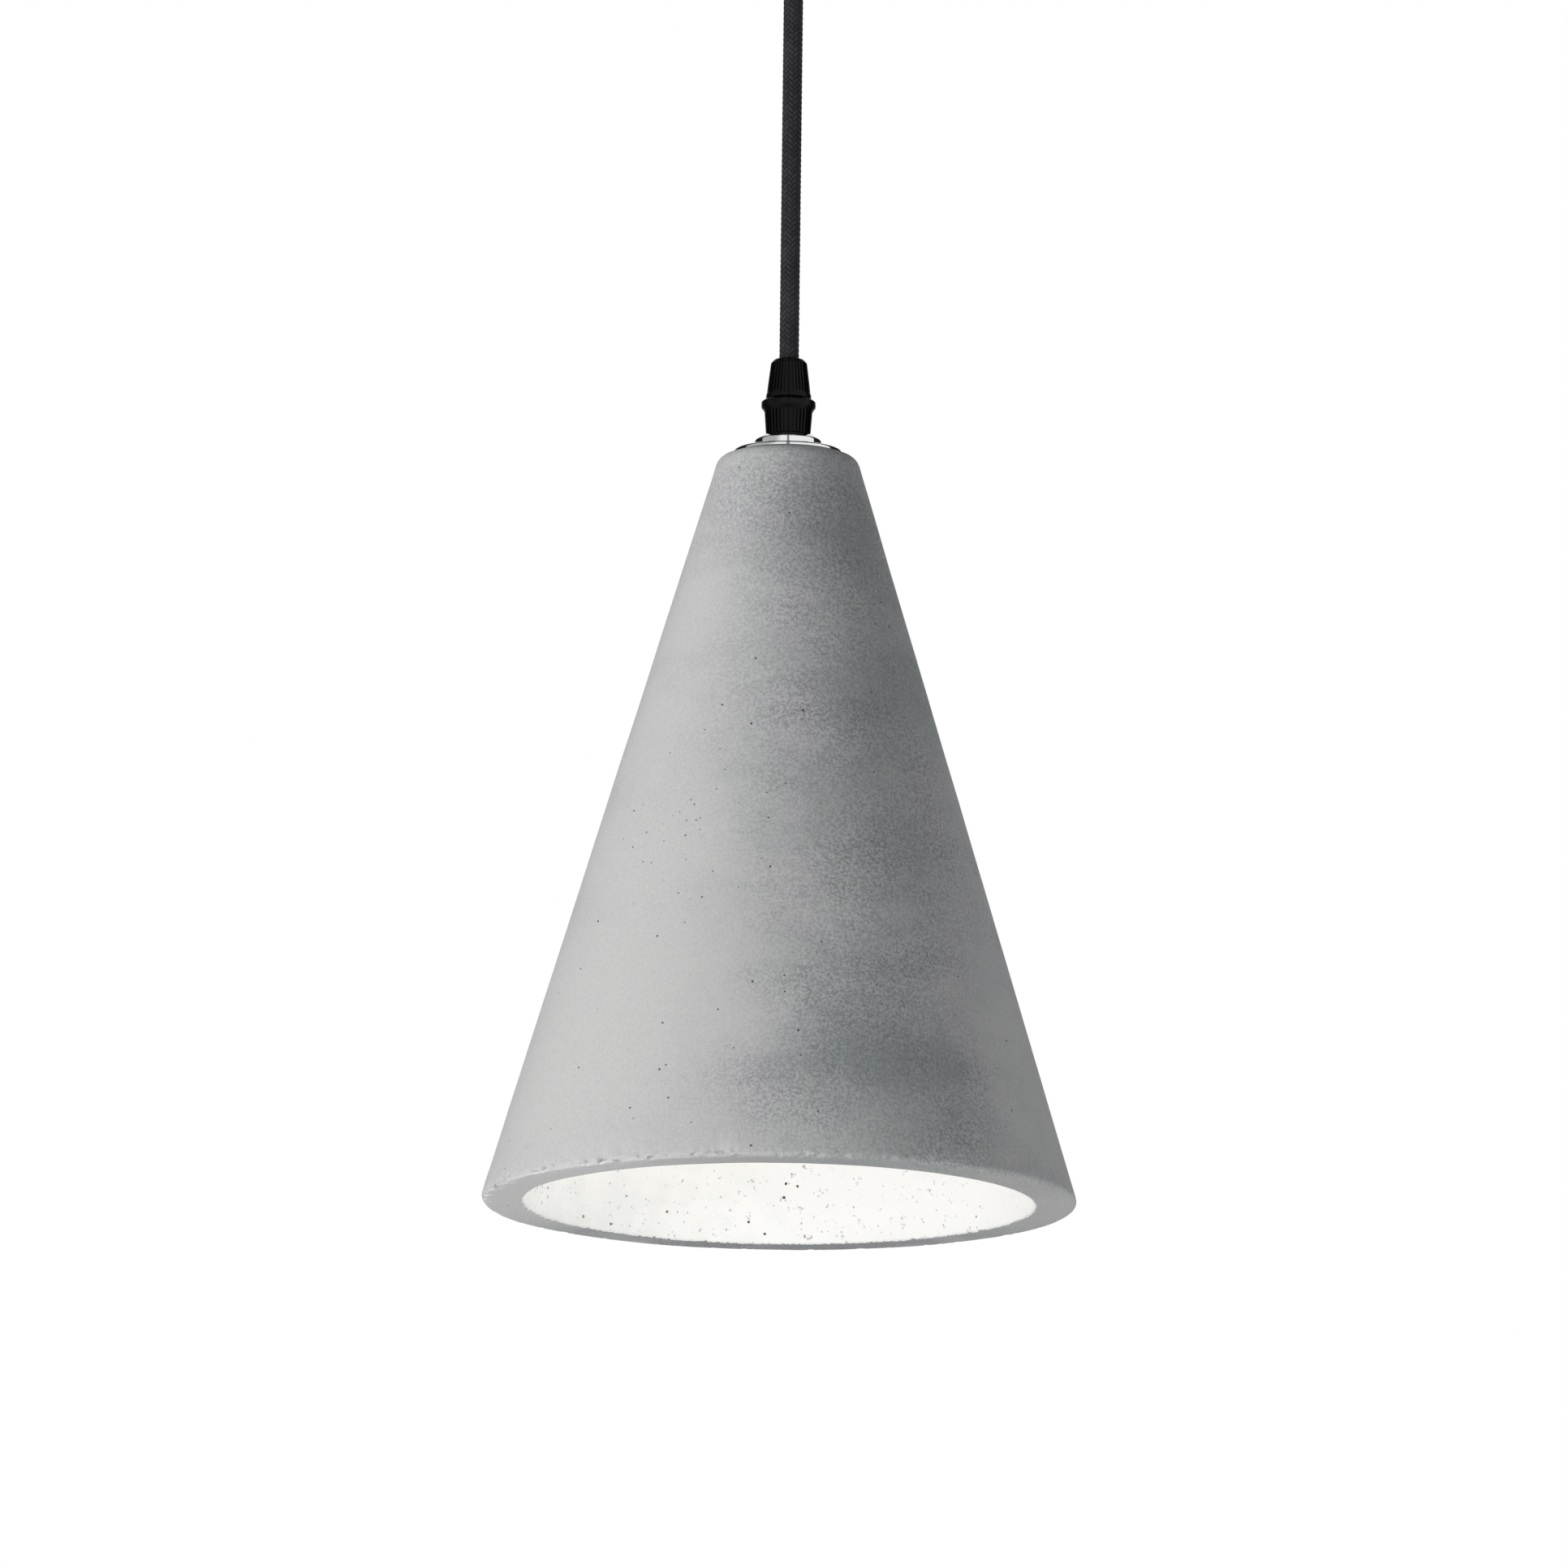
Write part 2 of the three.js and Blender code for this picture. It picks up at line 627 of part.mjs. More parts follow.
function buildPendant() {
  const cap = add('shade_grip_cap', gripCap(), blackPlastic());
  cap.position.z = LOWER_GRIP_BASE;
  const body = add('shade_grip_body', gripBody(), blackPlastic());
  body.position.z = LOWER_GRIP_BASE;
  add('chrome_boss', boss(), chrome());
  const flangeBottom = FLANGE_TOP - FLANGE_THICKNESS;
  add('chrome_flange', ring(FLANGE_RADIUS, NIPPLE_HOLE, FLANGE_TOP, flangeBottom, 0.5, 48), chrome());
  add('shade', shade(), concrete());
  const nippleTop = LOWER_GRIP_BASE + GRIP_THREAD_DEPTH - GAP;
  add('shade_nipple', nipple(nippleTop, HOLDER_TOP - 8.5), zincSteel());
  const padBottom = PAD_TOP - PAD_THICKNESS;
  add('inner_pad', ring(12, NIPPLE_HOLE, PAD_TOP, padBottom, 0, 24), rubber());
  const washerBottom = WASHER_TOP - WASHER_THICKNESS;
  add('inner_washer', ring(12, NIPPLE_HOLE, WASHER_TOP, washerBottom, 0, 24), zincSteel());
  add('inner_nut', hexNut(LOWER_NUT_TOP), zincSteel());
  add('holder_cap', holderCap(), phenolic());
  add('holder_insert', holderInsert(), porcelain());
  for (const [name, side] of [['holder_screw_live', -1], ['holder_screw_neutral', 1]]) {
    const screw = slottedScrew(1.4, 5, 2.8, 1.8);
    add(name, screw.translate(side * 8, 0, INSERT_TOP - 5 + GAP), brass());
  }
  const shellBottom = SKIRT_TOP - SKIRT_LENGTH + 2.5;
  add('screw_shell', ring(SHELL_RADIUS, SHELL_BORE, INSERT_BOTTOM - GAP, shellBottom, 0, 32), brass());
  add('centre_contact', centreContact(), brass());
  add('holder_skirt', holderSkirt(), phenolic());
}

// ---------------------------------------------------------------- bulb

// Half the outline of the glowing dome, from its tip up to its neck: round below its widest place,
// and a longer ellipse above it.
function domeOutline(radius, neckRadius, centre, neck) {
  const points = [];
  const lowerSteps = 6;
  for (let i = 0; i <= lowerSteps; i += 1) {
    const angle = ((i / lowerSteps - 1) * Math.PI) / 2;
    points.push([radius * Math.cos(angle), centre + radius * Math.sin(angle)]);
  }
  const neckAngle = Math.acos(neckRadius / radius);
  const rise = (neck - centre) / Math.sin(neckAngle);
  const upperSteps = 3;
  for (let i = 1; i <= upperSteps; i += 1) {
    const angle = (i / upperSteps) * neckAngle;
    points.push([radius * Math.cos(angle), centre + rise * Math.sin(angle)]);
  }
  points[0][0] = 0;
  return points;
}

function buildBulb() {
  const skin = 1.5;
  const capTop = BULB_TOP - 5.8;
  const capBottom = capTop - BULB_CAP_LENGTH;
  const collarTop = capBottom - GAP;
  const collarBottom = collarTop - 22;
  const neck = collarBottom - GAP;
  const tip = BULB_TOP - BULB_LENGTH;
  const centre = tip + BULB_RADIUS;

  add('bulb_contact', turned([
    [0, BULB_TOP - 1.2],
    [4.6, BULB_TOP - 1.2],
    [4.6, BULB_TOP - 0.6],
    [3, BULB_TOP],
    [0, BULB_TOP],
  ], 16), zincSteel());
  add('bulb_insulator', turned([
    [0, capTop + GAP],
    [11.6, capTop + GAP],
    [5.4, BULB_TOP - 1.5],
    [0, BULB_TOP - 1.5],
  ], 24), vitrite());

  const bore = BULB_CAP_RADIUS - 1.2;
  const thread = [];
  const turns = 4;
  for (let i = 0; i < turns; i += 1) {
    const foot = capBottom + 2.4 + i * BULB_THREAD_PITCH;
    thread.push([BULB_CAP_RADIUS - 0.7, foot], [BULB_CAP_RADIUS, foot + BULB_THREAD_PITCH / 2]);
  }
  add('bulb_cap', turned([
    [0, capTop - 1],
    [bore, capTop - 1],
    [bore, capBottom],
    [BULB_CAP_RADIUS, capBottom],
    ...thread,
    [BULB_CAP_RADIUS - 0.7, capTop, 0.6],
    [0, capTop],
  ], 24), zincSteel());
  add('bulb_driver_board', box([-8, -0.7, capBottom + 1], [8, 0.7, capTop - 1.6]), circuitBoard());
  add('bulb_collar', turned([
    [BULB_NECK_RADIUS - skin, collarBottom],
    [BULB_NECK_RADIUS, collarBottom],
    [14.4, collarTop, 2],
    [12.4, collarTop],
  ], 32), whitePlastic());
  add('bulb_led_board', turned([
    [0, collarBottom + 1.8],
    [20.5, collarBottom + 1.8],
    [20.5, collarBottom + 3.2],
    [0, collarBottom + 3.2],
  ], 24), circuitBoard());

  const outside = domeOutline(BULB_RADIUS, BULB_NECK_RADIUS, centre, neck);
  const inside = domeOutline(BULB_RADIUS - skin, BULB_NECK_RADIUS - skin, centre, neck).reverse();
  add('bulb_globe', turned([...outside, ...inside], 32), opal());
}

buildCeilingFitting();
buildCord();
buildPendant();
buildBulb();

export default light;
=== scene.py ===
# %% [markdown]
# # A concrete pendant light
#
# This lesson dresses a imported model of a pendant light: a cast concrete cone on a braided cord. The packed
# model gives the frame, with every piece in its place and on its joint. Here each piece that shows is
# modelled again with the surface that the real one has, and the small fittings keep their shape and get a
# finish. Everything is in metres, with +Z up and the origin on the ceiling.

# %% Load the frame
import json
import math
import random

import bmesh
import bpy
from mathutils import Matrix, Vector


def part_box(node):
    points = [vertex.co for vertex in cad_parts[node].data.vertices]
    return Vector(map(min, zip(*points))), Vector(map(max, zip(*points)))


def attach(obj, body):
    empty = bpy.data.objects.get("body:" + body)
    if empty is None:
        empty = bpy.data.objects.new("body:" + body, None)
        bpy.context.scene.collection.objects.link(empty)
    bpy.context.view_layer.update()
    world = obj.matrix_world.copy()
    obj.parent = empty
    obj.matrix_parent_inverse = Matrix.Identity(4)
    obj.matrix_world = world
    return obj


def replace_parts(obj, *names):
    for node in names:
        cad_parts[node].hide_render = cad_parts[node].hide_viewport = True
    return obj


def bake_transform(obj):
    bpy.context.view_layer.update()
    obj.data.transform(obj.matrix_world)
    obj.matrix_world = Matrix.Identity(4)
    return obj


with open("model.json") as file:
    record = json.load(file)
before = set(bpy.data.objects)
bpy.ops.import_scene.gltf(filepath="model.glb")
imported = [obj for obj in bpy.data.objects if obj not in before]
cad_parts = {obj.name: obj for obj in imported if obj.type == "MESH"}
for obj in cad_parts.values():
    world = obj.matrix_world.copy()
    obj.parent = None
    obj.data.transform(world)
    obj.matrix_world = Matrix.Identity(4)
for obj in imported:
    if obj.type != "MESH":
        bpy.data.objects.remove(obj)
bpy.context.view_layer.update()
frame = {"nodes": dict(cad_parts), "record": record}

# %% [markdown]
# ## The sizes that all pieces share
#
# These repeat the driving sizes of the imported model, in millimetres, because a lamp maker thinks in them.
# `MM` turns them into metres. Heights are measured down from the ceiling, so they are negative.

# %% Sizes
MM = 0.001
SHADE_TOP, SHADE_RIM = -209.3, -454.3
RIM_RADIUS, TOP_RADIUS = 96.15, 22.2  # of the sharp cone, before its edges are rounded
WALL = 14.15
CROWN_BOTTOM = -232.3
BORE = 5.3
SLOPE = (RIM_RADIUS - TOP_RADIUS) / (SHADE_TOP - SHADE_RIM)
CORD_RADIUS = 3.2
CORD_TOP, CORD_BOTTOM = -53.5, -177.1
UPPER_GRIP_BASE, LOWER_GRIP_BASE = -28.3, -202.3
BOSS_TOP, BOSS_FOOT, FLANGE_TOP = -202.6, -207.2, -207.5
CANOPY_BOTTOM = -28.0
HOLDER_TOP, SKIRT_TOP = -241.0, -271.3
BULB_TOP = -278.0
print("the cone narrows by", round(SLOPE, 4), "mm for each millimetre up")

# %% [markdown]
# ## The camera
#
# A catalogue picture of a lamp is taken from far away with a very long lens, so that the cone's sides stay
# straight. The camera stands low in front and looks up a little, which shows the thick rim and the inside.
# A camera looks along its own -Z, so `to_track_quat` turns it, and a small roll leans the picture.

# %% Camera
CAMERA_PLACE = Vector((0, -5.5, -1.3362))
CAMERA_PITCH, CAMERA_ROLL = math.radians(10.498), math.radians(0.688)

camera_data = bpy.data.cameras.new("camera")
camera_data.lens = 398.5
camera_data.sensor_width = 36
camera_data.clip_end = 100
camera = bpy.data.objects.new("camera", camera_data)
bpy.context.scene.collection.objects.link(camera)
look = Vector((0, math.cos(CAMERA_PITCH), math.sin(CAMERA_PITCH)))
upright = look.to_track_quat("-Z", "Y").to_matrix().to_4x4()
camera.matrix_world = Matrix.Translation(CAMERA_PLACE) @ upright @ Matrix.Rotation(CAMERA_ROLL, 4, "Z")
bpy.context.scene.camera = camera
print("camera", round((CAMERA_PLACE - Vector((0, 0, -0.33))).length, 2), "m from the shade")

# %% [markdown]
# ## Shader maths as sums
#
# A node tree is easier to read as a sum than as a web of boxes. `Paint` holds one output socket. Adding,
# taking away, multiplying, dividing or comparing it puts in the Math node that does so. `node` makes any
# other node: its kind, the settings that must be chosen first, then what goes into its sockets.


# %% The Paint class
class Paint:
    """One socket of a material, which can be used like a number."""

    def __init__(self, tree, socket=None):
        self.tree, self.socket = tree, socket

    def node(self, kind, settings=None, sockets=None, out=0):
        made = self.tree.nodes.new("ShaderNode" + kind)
        for name, value in (settings or {}).items():
            if name == "stops":
                ramp = made.color_ramp.elements
                while len(ramp) < len(value):
                    ramp.new(0.5)
                for stop, (place, colour) in zip(ramp, value):
                    stop.position, stop.color = place, (*colour, 1)
            else:
                setattr(made, name, value)
        for name, value in (sockets or {}).items():
            target = made.inputs[name]
            if isinstance(value, Paint):
                self.tree.links.new(value.socket, target)
            elif target.type == "RGBA":
                target.default_value = (*value, 1)
            else:
                target.default_value = value
        return Paint(self.tree, made.outputs[out] if made.outputs else None)

    def maths(self, operation, *values):
        return self.node("Math", {"operation": operation}, dict(enumerate(values)))

    def __add__(self, other):
        return self.maths("ADD", self, other)

    def __sub__(self, other):
        return self.maths("SUBTRACT", self, other)

    def __mul__(self, other):
        return self.maths("MULTIPLY", self, other)

    def __truediv__(self, other):
        return self.maths("DIVIDE", self, other)

    def __gt__(self, other):
        return self.maths("GREATER_THAN", self, other)

    def __lt__(self, other):
        return self.maths("LESS_THAN", self, other)

    def __rsub__(self, other):
        return self.maths("SUBTRACT", other, self)

    def __radd__(self, other):
        return self + other

    def __rmul__(self, other):
        return self * other


# %% [markdown]
# ### Patterns
#
# The patterns below are used by many finishes, so each has a short name. `soft_step` fades from 0 to 1
# between two values, `blend_colours` mixes two colours, `squeezed` packs a pattern closer upwards so that
# it lies in bands, and `cloud` is a noise of a given grain in millimetres.


# %% Pattern helpers
def new_finish(name):
    material = bpy.data.materials.new(name)
    material.use_nodes = True
    material.node_tree.nodes.clear()
    paint = Paint(material.node_tree)
    return material, paint, paint.node("TexCoord", out="Object")


def x_y_z(vector):
    axes = vector.node("SeparateXYZ", None, {0: vector})
    return [Paint(vector.tree, output) for output in axes.socket.node.outputs]


def soft_step(value, start, end):
    limits = {"Value": value, "From Min": start, "From Max": end}
    return value.node("MapRange", {"interpolation_type": "SMOOTHSTEP"}, limits)


def blend_colours(factor, first, second, kind="MIX"):
    settings = {"data_type": "RGBA", "blend_type": kind}
    return factor.node("Mix", settings, {0: factor, 6: first, 7: second}, out=2)


def squeezed(place, upwards):
    return place.node("Mapping", None, {"Vector": place, "Scale": (1, 1, upwards)})


def cloud(place, grain, detail=2.0, rough=0.5):
    sockets = {"Vector": place, "Scale": 1 / (grain * MM), "Detail": detail, "Roughness": rough}
    return place.node("TexNoise", None, sockets)


def bumped(height, depth, strength=1.0):
    return height.node("Bump", None, {"Height": height, "Distance": depth * MM, "Strength": strength})


def surface(material, paint, sockets):
    shader = paint.node("BsdfPrincipled", None, sockets)
    paint.node("OutputMaterial", None, {"Surface": shader})
    print("finish", material.name, "has", len(material.node_tree.nodes), "nodes")
    return material


# %% [markdown]
# ## Finish: cast concrete with a white-coated inside
#
# Concrete shows clouds where the mix dried unevenly, a sandy grain, and small holes where air was caught
# against the mould. The inside has a thin white coat that stops raggedly at the rim and doesn't reach into
# the holes. Two materials could be used, one for each side, but they would meet in a hard line. One
# material holds both, because how deep a point lies in the wall, measured from the outer cone, says
# whether it is on the coated inner face.


# %% Places in the wall
def wall_places(paint, place):
    """The turn round from the front, the height, and the depth below the outer cone."""
    x, y, z = x_y_z(place)
    around = paint.maths("ARCTAN2", x, y * -1)
    outer = RIM_RADIUS * MM - (z - SHADE_RIM * MM) * SLOPE
    return around, z, outer - paint.maths("SQRT", x * x + y * y)


# %% [markdown]
# Each entry is a soft oval on the cone, and a negative darkness makes it paler. The front ovals are
# painted shade and painted light: dark ones, most on the right away from the key light, and pale ones low
# on the left and right. The ovals at the back, and the one on the back of the rim, darken the mix there.
# The turn and the height are bent by two clouds first, so that no oval has a regular outline. A cosine
# measures how far apart two turns are, which has no seam behind.

# %% Ovals of painted shade and light
PAINTED_SHADE_AND_TONE = [  # degrees round from the front, height, half width in degrees, half height, darkness
    (32, -320, 54, 230, 0.56),
    (34, -225, 80, 28, 0.3),
    (-35, -222, 45, 26, 0.22),
    (72, -262, 30, 75, 0.34),
    (20, -418, 26, 30, 0.46),
    (13, -247, 46, 26, 0.22),
    (24, -296, 34, 22, 0.14),
    (60, -412, 26, 46, -0.3),
    (-42, -395, 48, 100, -0.26),
    (-150, -330, 60, 90, 0.35),
    (150, -380, 50, 50, 0.25),
    (180, -456, 75, 9, 0.7),
]
BEND_AROUND, BEND_UP = 0.6, 24  # radians and mm


def shade_and_tone_at(around, height, oval_entry):
    angle, level, wide, tall, dark = oval_entry
    beside = (1 - around.maths("COSINE", around - math.radians(angle))) * 2
    up = (height - level * MM) / (tall * MM)
    reach = around.maths("SQRT", beside / math.radians(wide) ** 2 + up * up)
    return soft_step(reach, 1.4, 0.0) * dark


def tone_with_painted_shade(place, bent_around, z, mottle):
    """How dark the grey is, from the mix's clouds and the ovals of painted shade and light: 0 for the palest
    clouds, 1 for the darkest ovals.
    """
    bent_height = z + (cloud(place, 30, 3) - 0.5) * (BEND_UP * MM)
    shade_and_tone = 0
    for oval_entry in PAINTED_SHADE_AND_TONE:
        shade_and_tone = shade_and_tone_at(bent_around, bent_height, oval_entry) + shade_and_tone
    bands = cloud(squeezed(place, 3.2), 70, 4, 0.55)
    rim_face = soft_step(z, (SHADE_RIM + 0.8) * MM, (SHADE_RIM + 0.2) * MM)
    return shade_and_tone + (bands - 0.5) * 0.7 + (mottle - 0.5) * 0.36 + rim_face * 0.02


# %% [markdown]
# The tone picks a grey between two. Where it is dark, cloudy patches lean to green, most near the front
# right, and the rest to lilac. The rim's lower face is painted paler on the left, as painted light. Sand
# shows as a light and dark grain, and most where the grey is dark.

# %% Grey of the mix
PALE_GREY, DARK_GREY, RIM_LIGHT_GREY = (0.475, 0.474, 0.472), (0.232, 0.246, 0.25), (0.64, 0.64, 0.635)
GREENISH, LILAC = (0.968, 1.0, 0.988), (1.004, 0.982, 1.018)
GREEN_AT, RIM_LIGHT_AT = math.radians(26), 1.3  # radians from the front, to the right and to the left
SAND_GRAIN = 0.95


def mix_grey(paint, place, around, bent_around, z, dark, grain):
    grey = blend_colours(soft_step(dark, -0.25, 1.15), PALE_GREY, DARK_GREY)
    # The rim's lower face is painted paler on the left: painted light.
    on_rim = soft_step(z, (SHADE_RIM + 1) * MM, (SHADE_RIM + 0.4) * MM)
    painted_rim_light = on_rim * soft_step(paint.maths("COSINE", around + RIM_LIGHT_AT), 0.35, 0.9)
    grey = blend_colours(painted_rim_light * 0.75, grey, RIM_LIGHT_GREY)
    green = soft_step(paint.maths("COSINE", bent_around - GREEN_AT), 0.91, 0.99)
    lean = cloud(squeezed(place, 0.5), 22, 2) - green * 0.16 + 0.08
    tint = blend_colours(soft_step(lean, 0.35, 0.65), GREENISH, LILAC)
    grey = blend_colours(soft_step(dark, 0, 0.5), grey, tint, "MULTIPLY")
    patchy = soft_step(cloud(place, 26, 2), 0.3, 0.7) * 0.7 + 0.5
    contrast = soft_step(dark, -0.1, 0.6) * patchy * 0.46 + 0.1
    sand = (soft_step(grain, 0.36, 0.64) - 0.5) * contrast + 1
    return paint.node("VectorMath", {"operation": "SCALE"}, {0: grey, "Scale": sand})


# %% [markdown]
# Painted pinholes are the centres of the cells of a Voronoi pattern, in only a share of the cells. They
# stand for holes too small to cut and are painted dark, as painted shade. The larger holes are cut in the
# mesh later, and their walls get painted shade too, which the depth finds: just under the outer face, or
# just short of the inner one. The coat is whitest where it is thick, and it gets painted shade on the right.


# %% Holes and coat
def pinholes(place, spacing, size, share):
    cell = place.node("TexVoronoi", None, {"Vector": place, "Scale": 1 / (spacing * MM)})
    colour = Paint(place.tree, cell.socket.node.outputs["Color"])
    chance = colour.node("SeparateColor", None, {"Color": colour})
    other = Paint(place.tree, chance.socket.node.outputs[1])
    radius = (other * 0.7 + 0.3) * (size / spacing)
    return soft_step(cell / radius, 1.15, 0.75) * (chance < share)


def cut_holes(depth, z):
    """A mask of the cut holes' walls, which get painted shade, kept off the chipped rim and the rounded top.
    """

    def from_rim(low, high):
        return soft_step(z, (SHADE_RIM + low) * MM, (SHADE_RIM + high) * MM)

    def deeper(start, end):
        return soft_step(depth, start * MM, end * MM)

    outer = deeper(0.22, 0.4) * deeper(5, 4) * soft_step(z, -223 * MM, -226 * MM) * from_rim(5.5, 6.5)
    inner = deeper(WALL - 0.34, WALL - 0.6) * deeper(WALL - 5, WALL - 4) * from_rim(1.6, 2.4)
    return outer + inner


def white_coat(paint, place, around):
    thick = soft_step(cloud(place, 9, 3, 0.6), 0.35, 0.7)
    white = blend_colours(thick, (0.945, 0.945, 0.93), (0.905, 0.907, 0.895))
    # The coat is painted darker on the right of the inside: painted shade.
    painted_shade_right = soft_step(paint.maths("COSINE", around - math.radians(118)), 0.1, 0.95)
    white = blend_colours(painted_shade_right, white, (0.835, 0.835, 0.83))
    # Small pits in the coat show grey: partly the uncoated concrete, partly painted shade.
    return blend_colours(pinholes(place, 2.2, 0.3, 0.4), white, (0.3, 0.3, 0.31))


# %% Concrete
def make_concrete():
    material, paint, place = new_finish("cast_concrete")
    around, z, depth = wall_places(paint, place)
    bent_around = around + (cloud(place, 38, 4, 0.6) - 0.5) * BEND_AROUND
    mottle = cloud(squeezed(place, 1.6), 16, 3, 0.6)
    grain = cloud(place, SAND_GRAIN, 3, 0.8)
    dark = tone_with_painted_shade(place, bent_around, z, mottle)
    grey = mix_grey(paint, place, around, bent_around, z, dark, grain)
    # Pinholes and the walls of the cut holes are painted nearly black: painted shade in the holes.
    holes = pinholes(place, 5.5, 0.42, 0.4)
    grey = blend_colours(paint.maths("MAXIMUM", holes, cut_holes(depth, z)), grey, (0.07, 0.07, 0.072))

    ragged = (cloud(place, 2.2, 3, 0.7) - 0.5) * (2.4 * MM)
    coated = soft_step(depth + ragged, (WALL - 0.62) * MM, (WALL - 0.42) * MM)
    sockets = {
        "Base Color": blend_colours(coated, grey, white_coat(paint, place, around)),
        "Roughness": 0.9 - coated * 0.22 + (mottle - 0.5) * 0.1,
        "Normal": bumped(grain * 0.5 + mottle * 0.9 - holes * 2.0, 0.11, 0.8),
        "Specular IOR Level": 0.35,
    }
    return surface(material, paint, sockets)


concrete = make_concrete()

# %% [markdown]
# ## Finish: chrome, zinc and brass
#
# Polished chrome is a mirror with faint wipe marks, so its roughness varies a little and its colour hardly
# at all. Zinc plating is duller and cloudy, and brass is warm with fine turning marks. One function makes
# all three from a colour, a darker colour and a pair of roughness values.


# %% Metals
def make_metal(name, light, dark, smooth, dull, grain):
    material, paint, place = new_finish(name)
    marks = cloud(squeezed(place, 6), grain, 3, 0.6)
    patch = cloud(place, grain * 3, 2)
    colour = blend_colours(soft_step(patch, 0.3, 0.75), light, dark)
    rough = soft_step(marks * 0.6 + patch * 0.4, 0.3, 0.75) * (dull - smooth) + smooth
    sockets = {"Base Color": colour, "Roughness": rough, "Normal": bumped(marks, 0.004, 0.5)}
    return surface(material, paint, {**sockets, "Metallic": 1.0})


chrome = make_metal("polished_chrome", (0.86, 0.865, 0.87), (0.8, 0.805, 0.815), 0.03, 0.09, 12)
zinc = make_metal("zinc_plate", (0.6, 0.61, 0.62), (0.45, 0.46, 0.475), 0.24, 0.42, 4)
brass = make_metal("plain_brass", (0.68, 0.49, 0.21), (0.5, 0.34, 0.13), 0.2, 0.36, 3)

# %% [markdown]
# ## Finish: plastics, rubber and porcelain
#
# Moulded plastic has a base colour that drifts a little, a satin skin and a very fine texture from the
# mould. Glazed porcelain is the same idea with a clear coat over it.


# %% Plastics
def make_plastic(name, light, dark, rough, texture=0.02, grain=0.5, more=None):
    material, paint, place = new_finish(name)
    drift = cloud(place, 11, 3)
    skin = cloud(place, grain, 2, 0.6)
    colour = blend_colours(soft_step(drift * 0.7 + skin * 0.3, 0.35, 0.65), light, dark)
    gloss = (skin - 0.5) * 0.16 + (drift - 0.5) * 0.12 + rough
    sockets = {"Base Color": colour, "Roughness": gloss, "Normal": bumped(skin, texture, 0.7)}
    return surface(material, paint, {**sockets, **(more or {})})


low_gloss = {"Specular IOR Level": 0.13}
black_plastic = make_plastic(
    "black_moulded_plastic", (0.004, 0.004, 0.0044), (0.0025, 0.0025, 0.003), 0.26, more=low_gloss
)
phenolic = make_plastic("phenolic_moulding", (0.016, 0.015, 0.014), (0.01, 0.009, 0.009), 0.3, 0.01)
nylon = make_plastic("natural_nylon", (0.8, 0.78, 0.71), (0.74, 0.71, 0.63), 0.42)
rubber = make_plastic("black_rubber", (0.022, 0.022, 0.022), (0.014, 0.014, 0.014), 0.82, 0.05, 0.8)
brown_wire = make_plastic("brown_insulation", (0.15, 0.06, 0.024), (0.12, 0.045, 0.018), 0.36, 0.01)
blue_wire = make_plastic("blue_insulation", (0.022, 0.11, 0.4), (0.016, 0.09, 0.34), 0.36, 0.01)
white_plastic = make_plastic("white_moulded_plastic", (0.84, 0.835, 0.82), (0.8, 0.795, 0.77), 0.38, 0.01)
board = make_plastic("lacquered_board", (0.7, 0.72, 0.69), (0.63, 0.66, 0.63), 0.4, 0.03, 1.2)
glaze = {"Coat Weight": 0.8, "Coat Roughness": 0.06}
porcelain = make_plastic("glazed_porcelain", (0.84, 0.82, 0.76), (0.8, 0.77, 0.69), 0.35, 0.02, 1.5, glaze)
vitrite = make_plastic("black_glass", (0.01, 0.01, 0.012), (0.006, 0.006, 0.008), 0.12, 0.004)

GLOW = 2.6  # the dome's light, which also fills the inside of the shade
warm = {"Emission Color": (1.0, 0.965, 0.9), "Emission Strength": GLOW, "Subsurface Weight": 0.2}
opal = make_plastic("opal_diffuser", (0.9, 0.89, 0.86), (0.87, 0.86, 0.82), 0.3, 0.004, 0.6, warm)
print("the opal dome glows at", GLOW)

# %% [markdown]
# ## Finish: braided textile
#
# The braid is modelled as real relief, and the mesh carries two values for its colour: how high a point
# stands on its yarn, and which yarn it belongs to. The colour grows lighter with the height, which paints
# shade into the gaps, nearly black, and light onto the crowns of the yarns. A fine noise along the yarns
# stands for the separate threads.


# %% Textile
YARNS = 12  # in each of the two families
BRAID_PITCH = 1.75  # mm along the cord from one yarn to the next
STRANDS = 3  # in each yarn
BRAID_RELIEF = 0.24  # mm from the crown of a yarn down to the gap beside it


def make_textile():
    material, paint, place = new_finish("charcoal_braid")
    names = ("crown", "yarn", "family")
    crown, yarn, family = (paint.node("Attribute", {"attribute_name": name}, out="Fac") for name in names)
    threads = cloud(place, 0.35, 2, 0.7)
    worn = cloud(place, 9, 3)
    x, y, z = x_y_z(place)
    around = paint.maths("ARCTAN2", y, x) * (YARNS / (2 * math.pi))
    upwards = z / (BRAID_PITCH * MM)
    turns = (around + upwards, around - upwards)
    leaning = [paint.maths("SINE", turn * (2 * math.pi * STRANDS)) for turn in turns]
    strands = leaning[0] + (leaning[1] - leaning[0]) * family
    height = soft_step(crown, 0.15, 0.95) * (0.55 + threads * 0.5) * (0.75 + yarn * 0.5)
    height = height * (strands * 0.16 + 0.84)
    # The colour follows the height: painted shade in the gaps, painted light on the crowns.
    colour = blend_colours(height, (0.0065, 0.0064, 0.007), (0.048, 0.047, 0.052))
    colour = blend_colours(soft_step(worn, 0.45, 0.8) * 0.2, colour, (0.056, 0.055, 0.059))
    sockets = {
        "Base Color": colour,
        "Roughness": 0.86 - threads * 0.1,
        "Normal": bumped(strands * 0.4 + threads, 0.05, 0.7),
        "Sheen Weight": 0.1,
        "Sheen Roughness": 0.4,
        "Specular IOR Level": 0.15,
    }
    return surface(material, paint, sockets)


textile = make_textile()

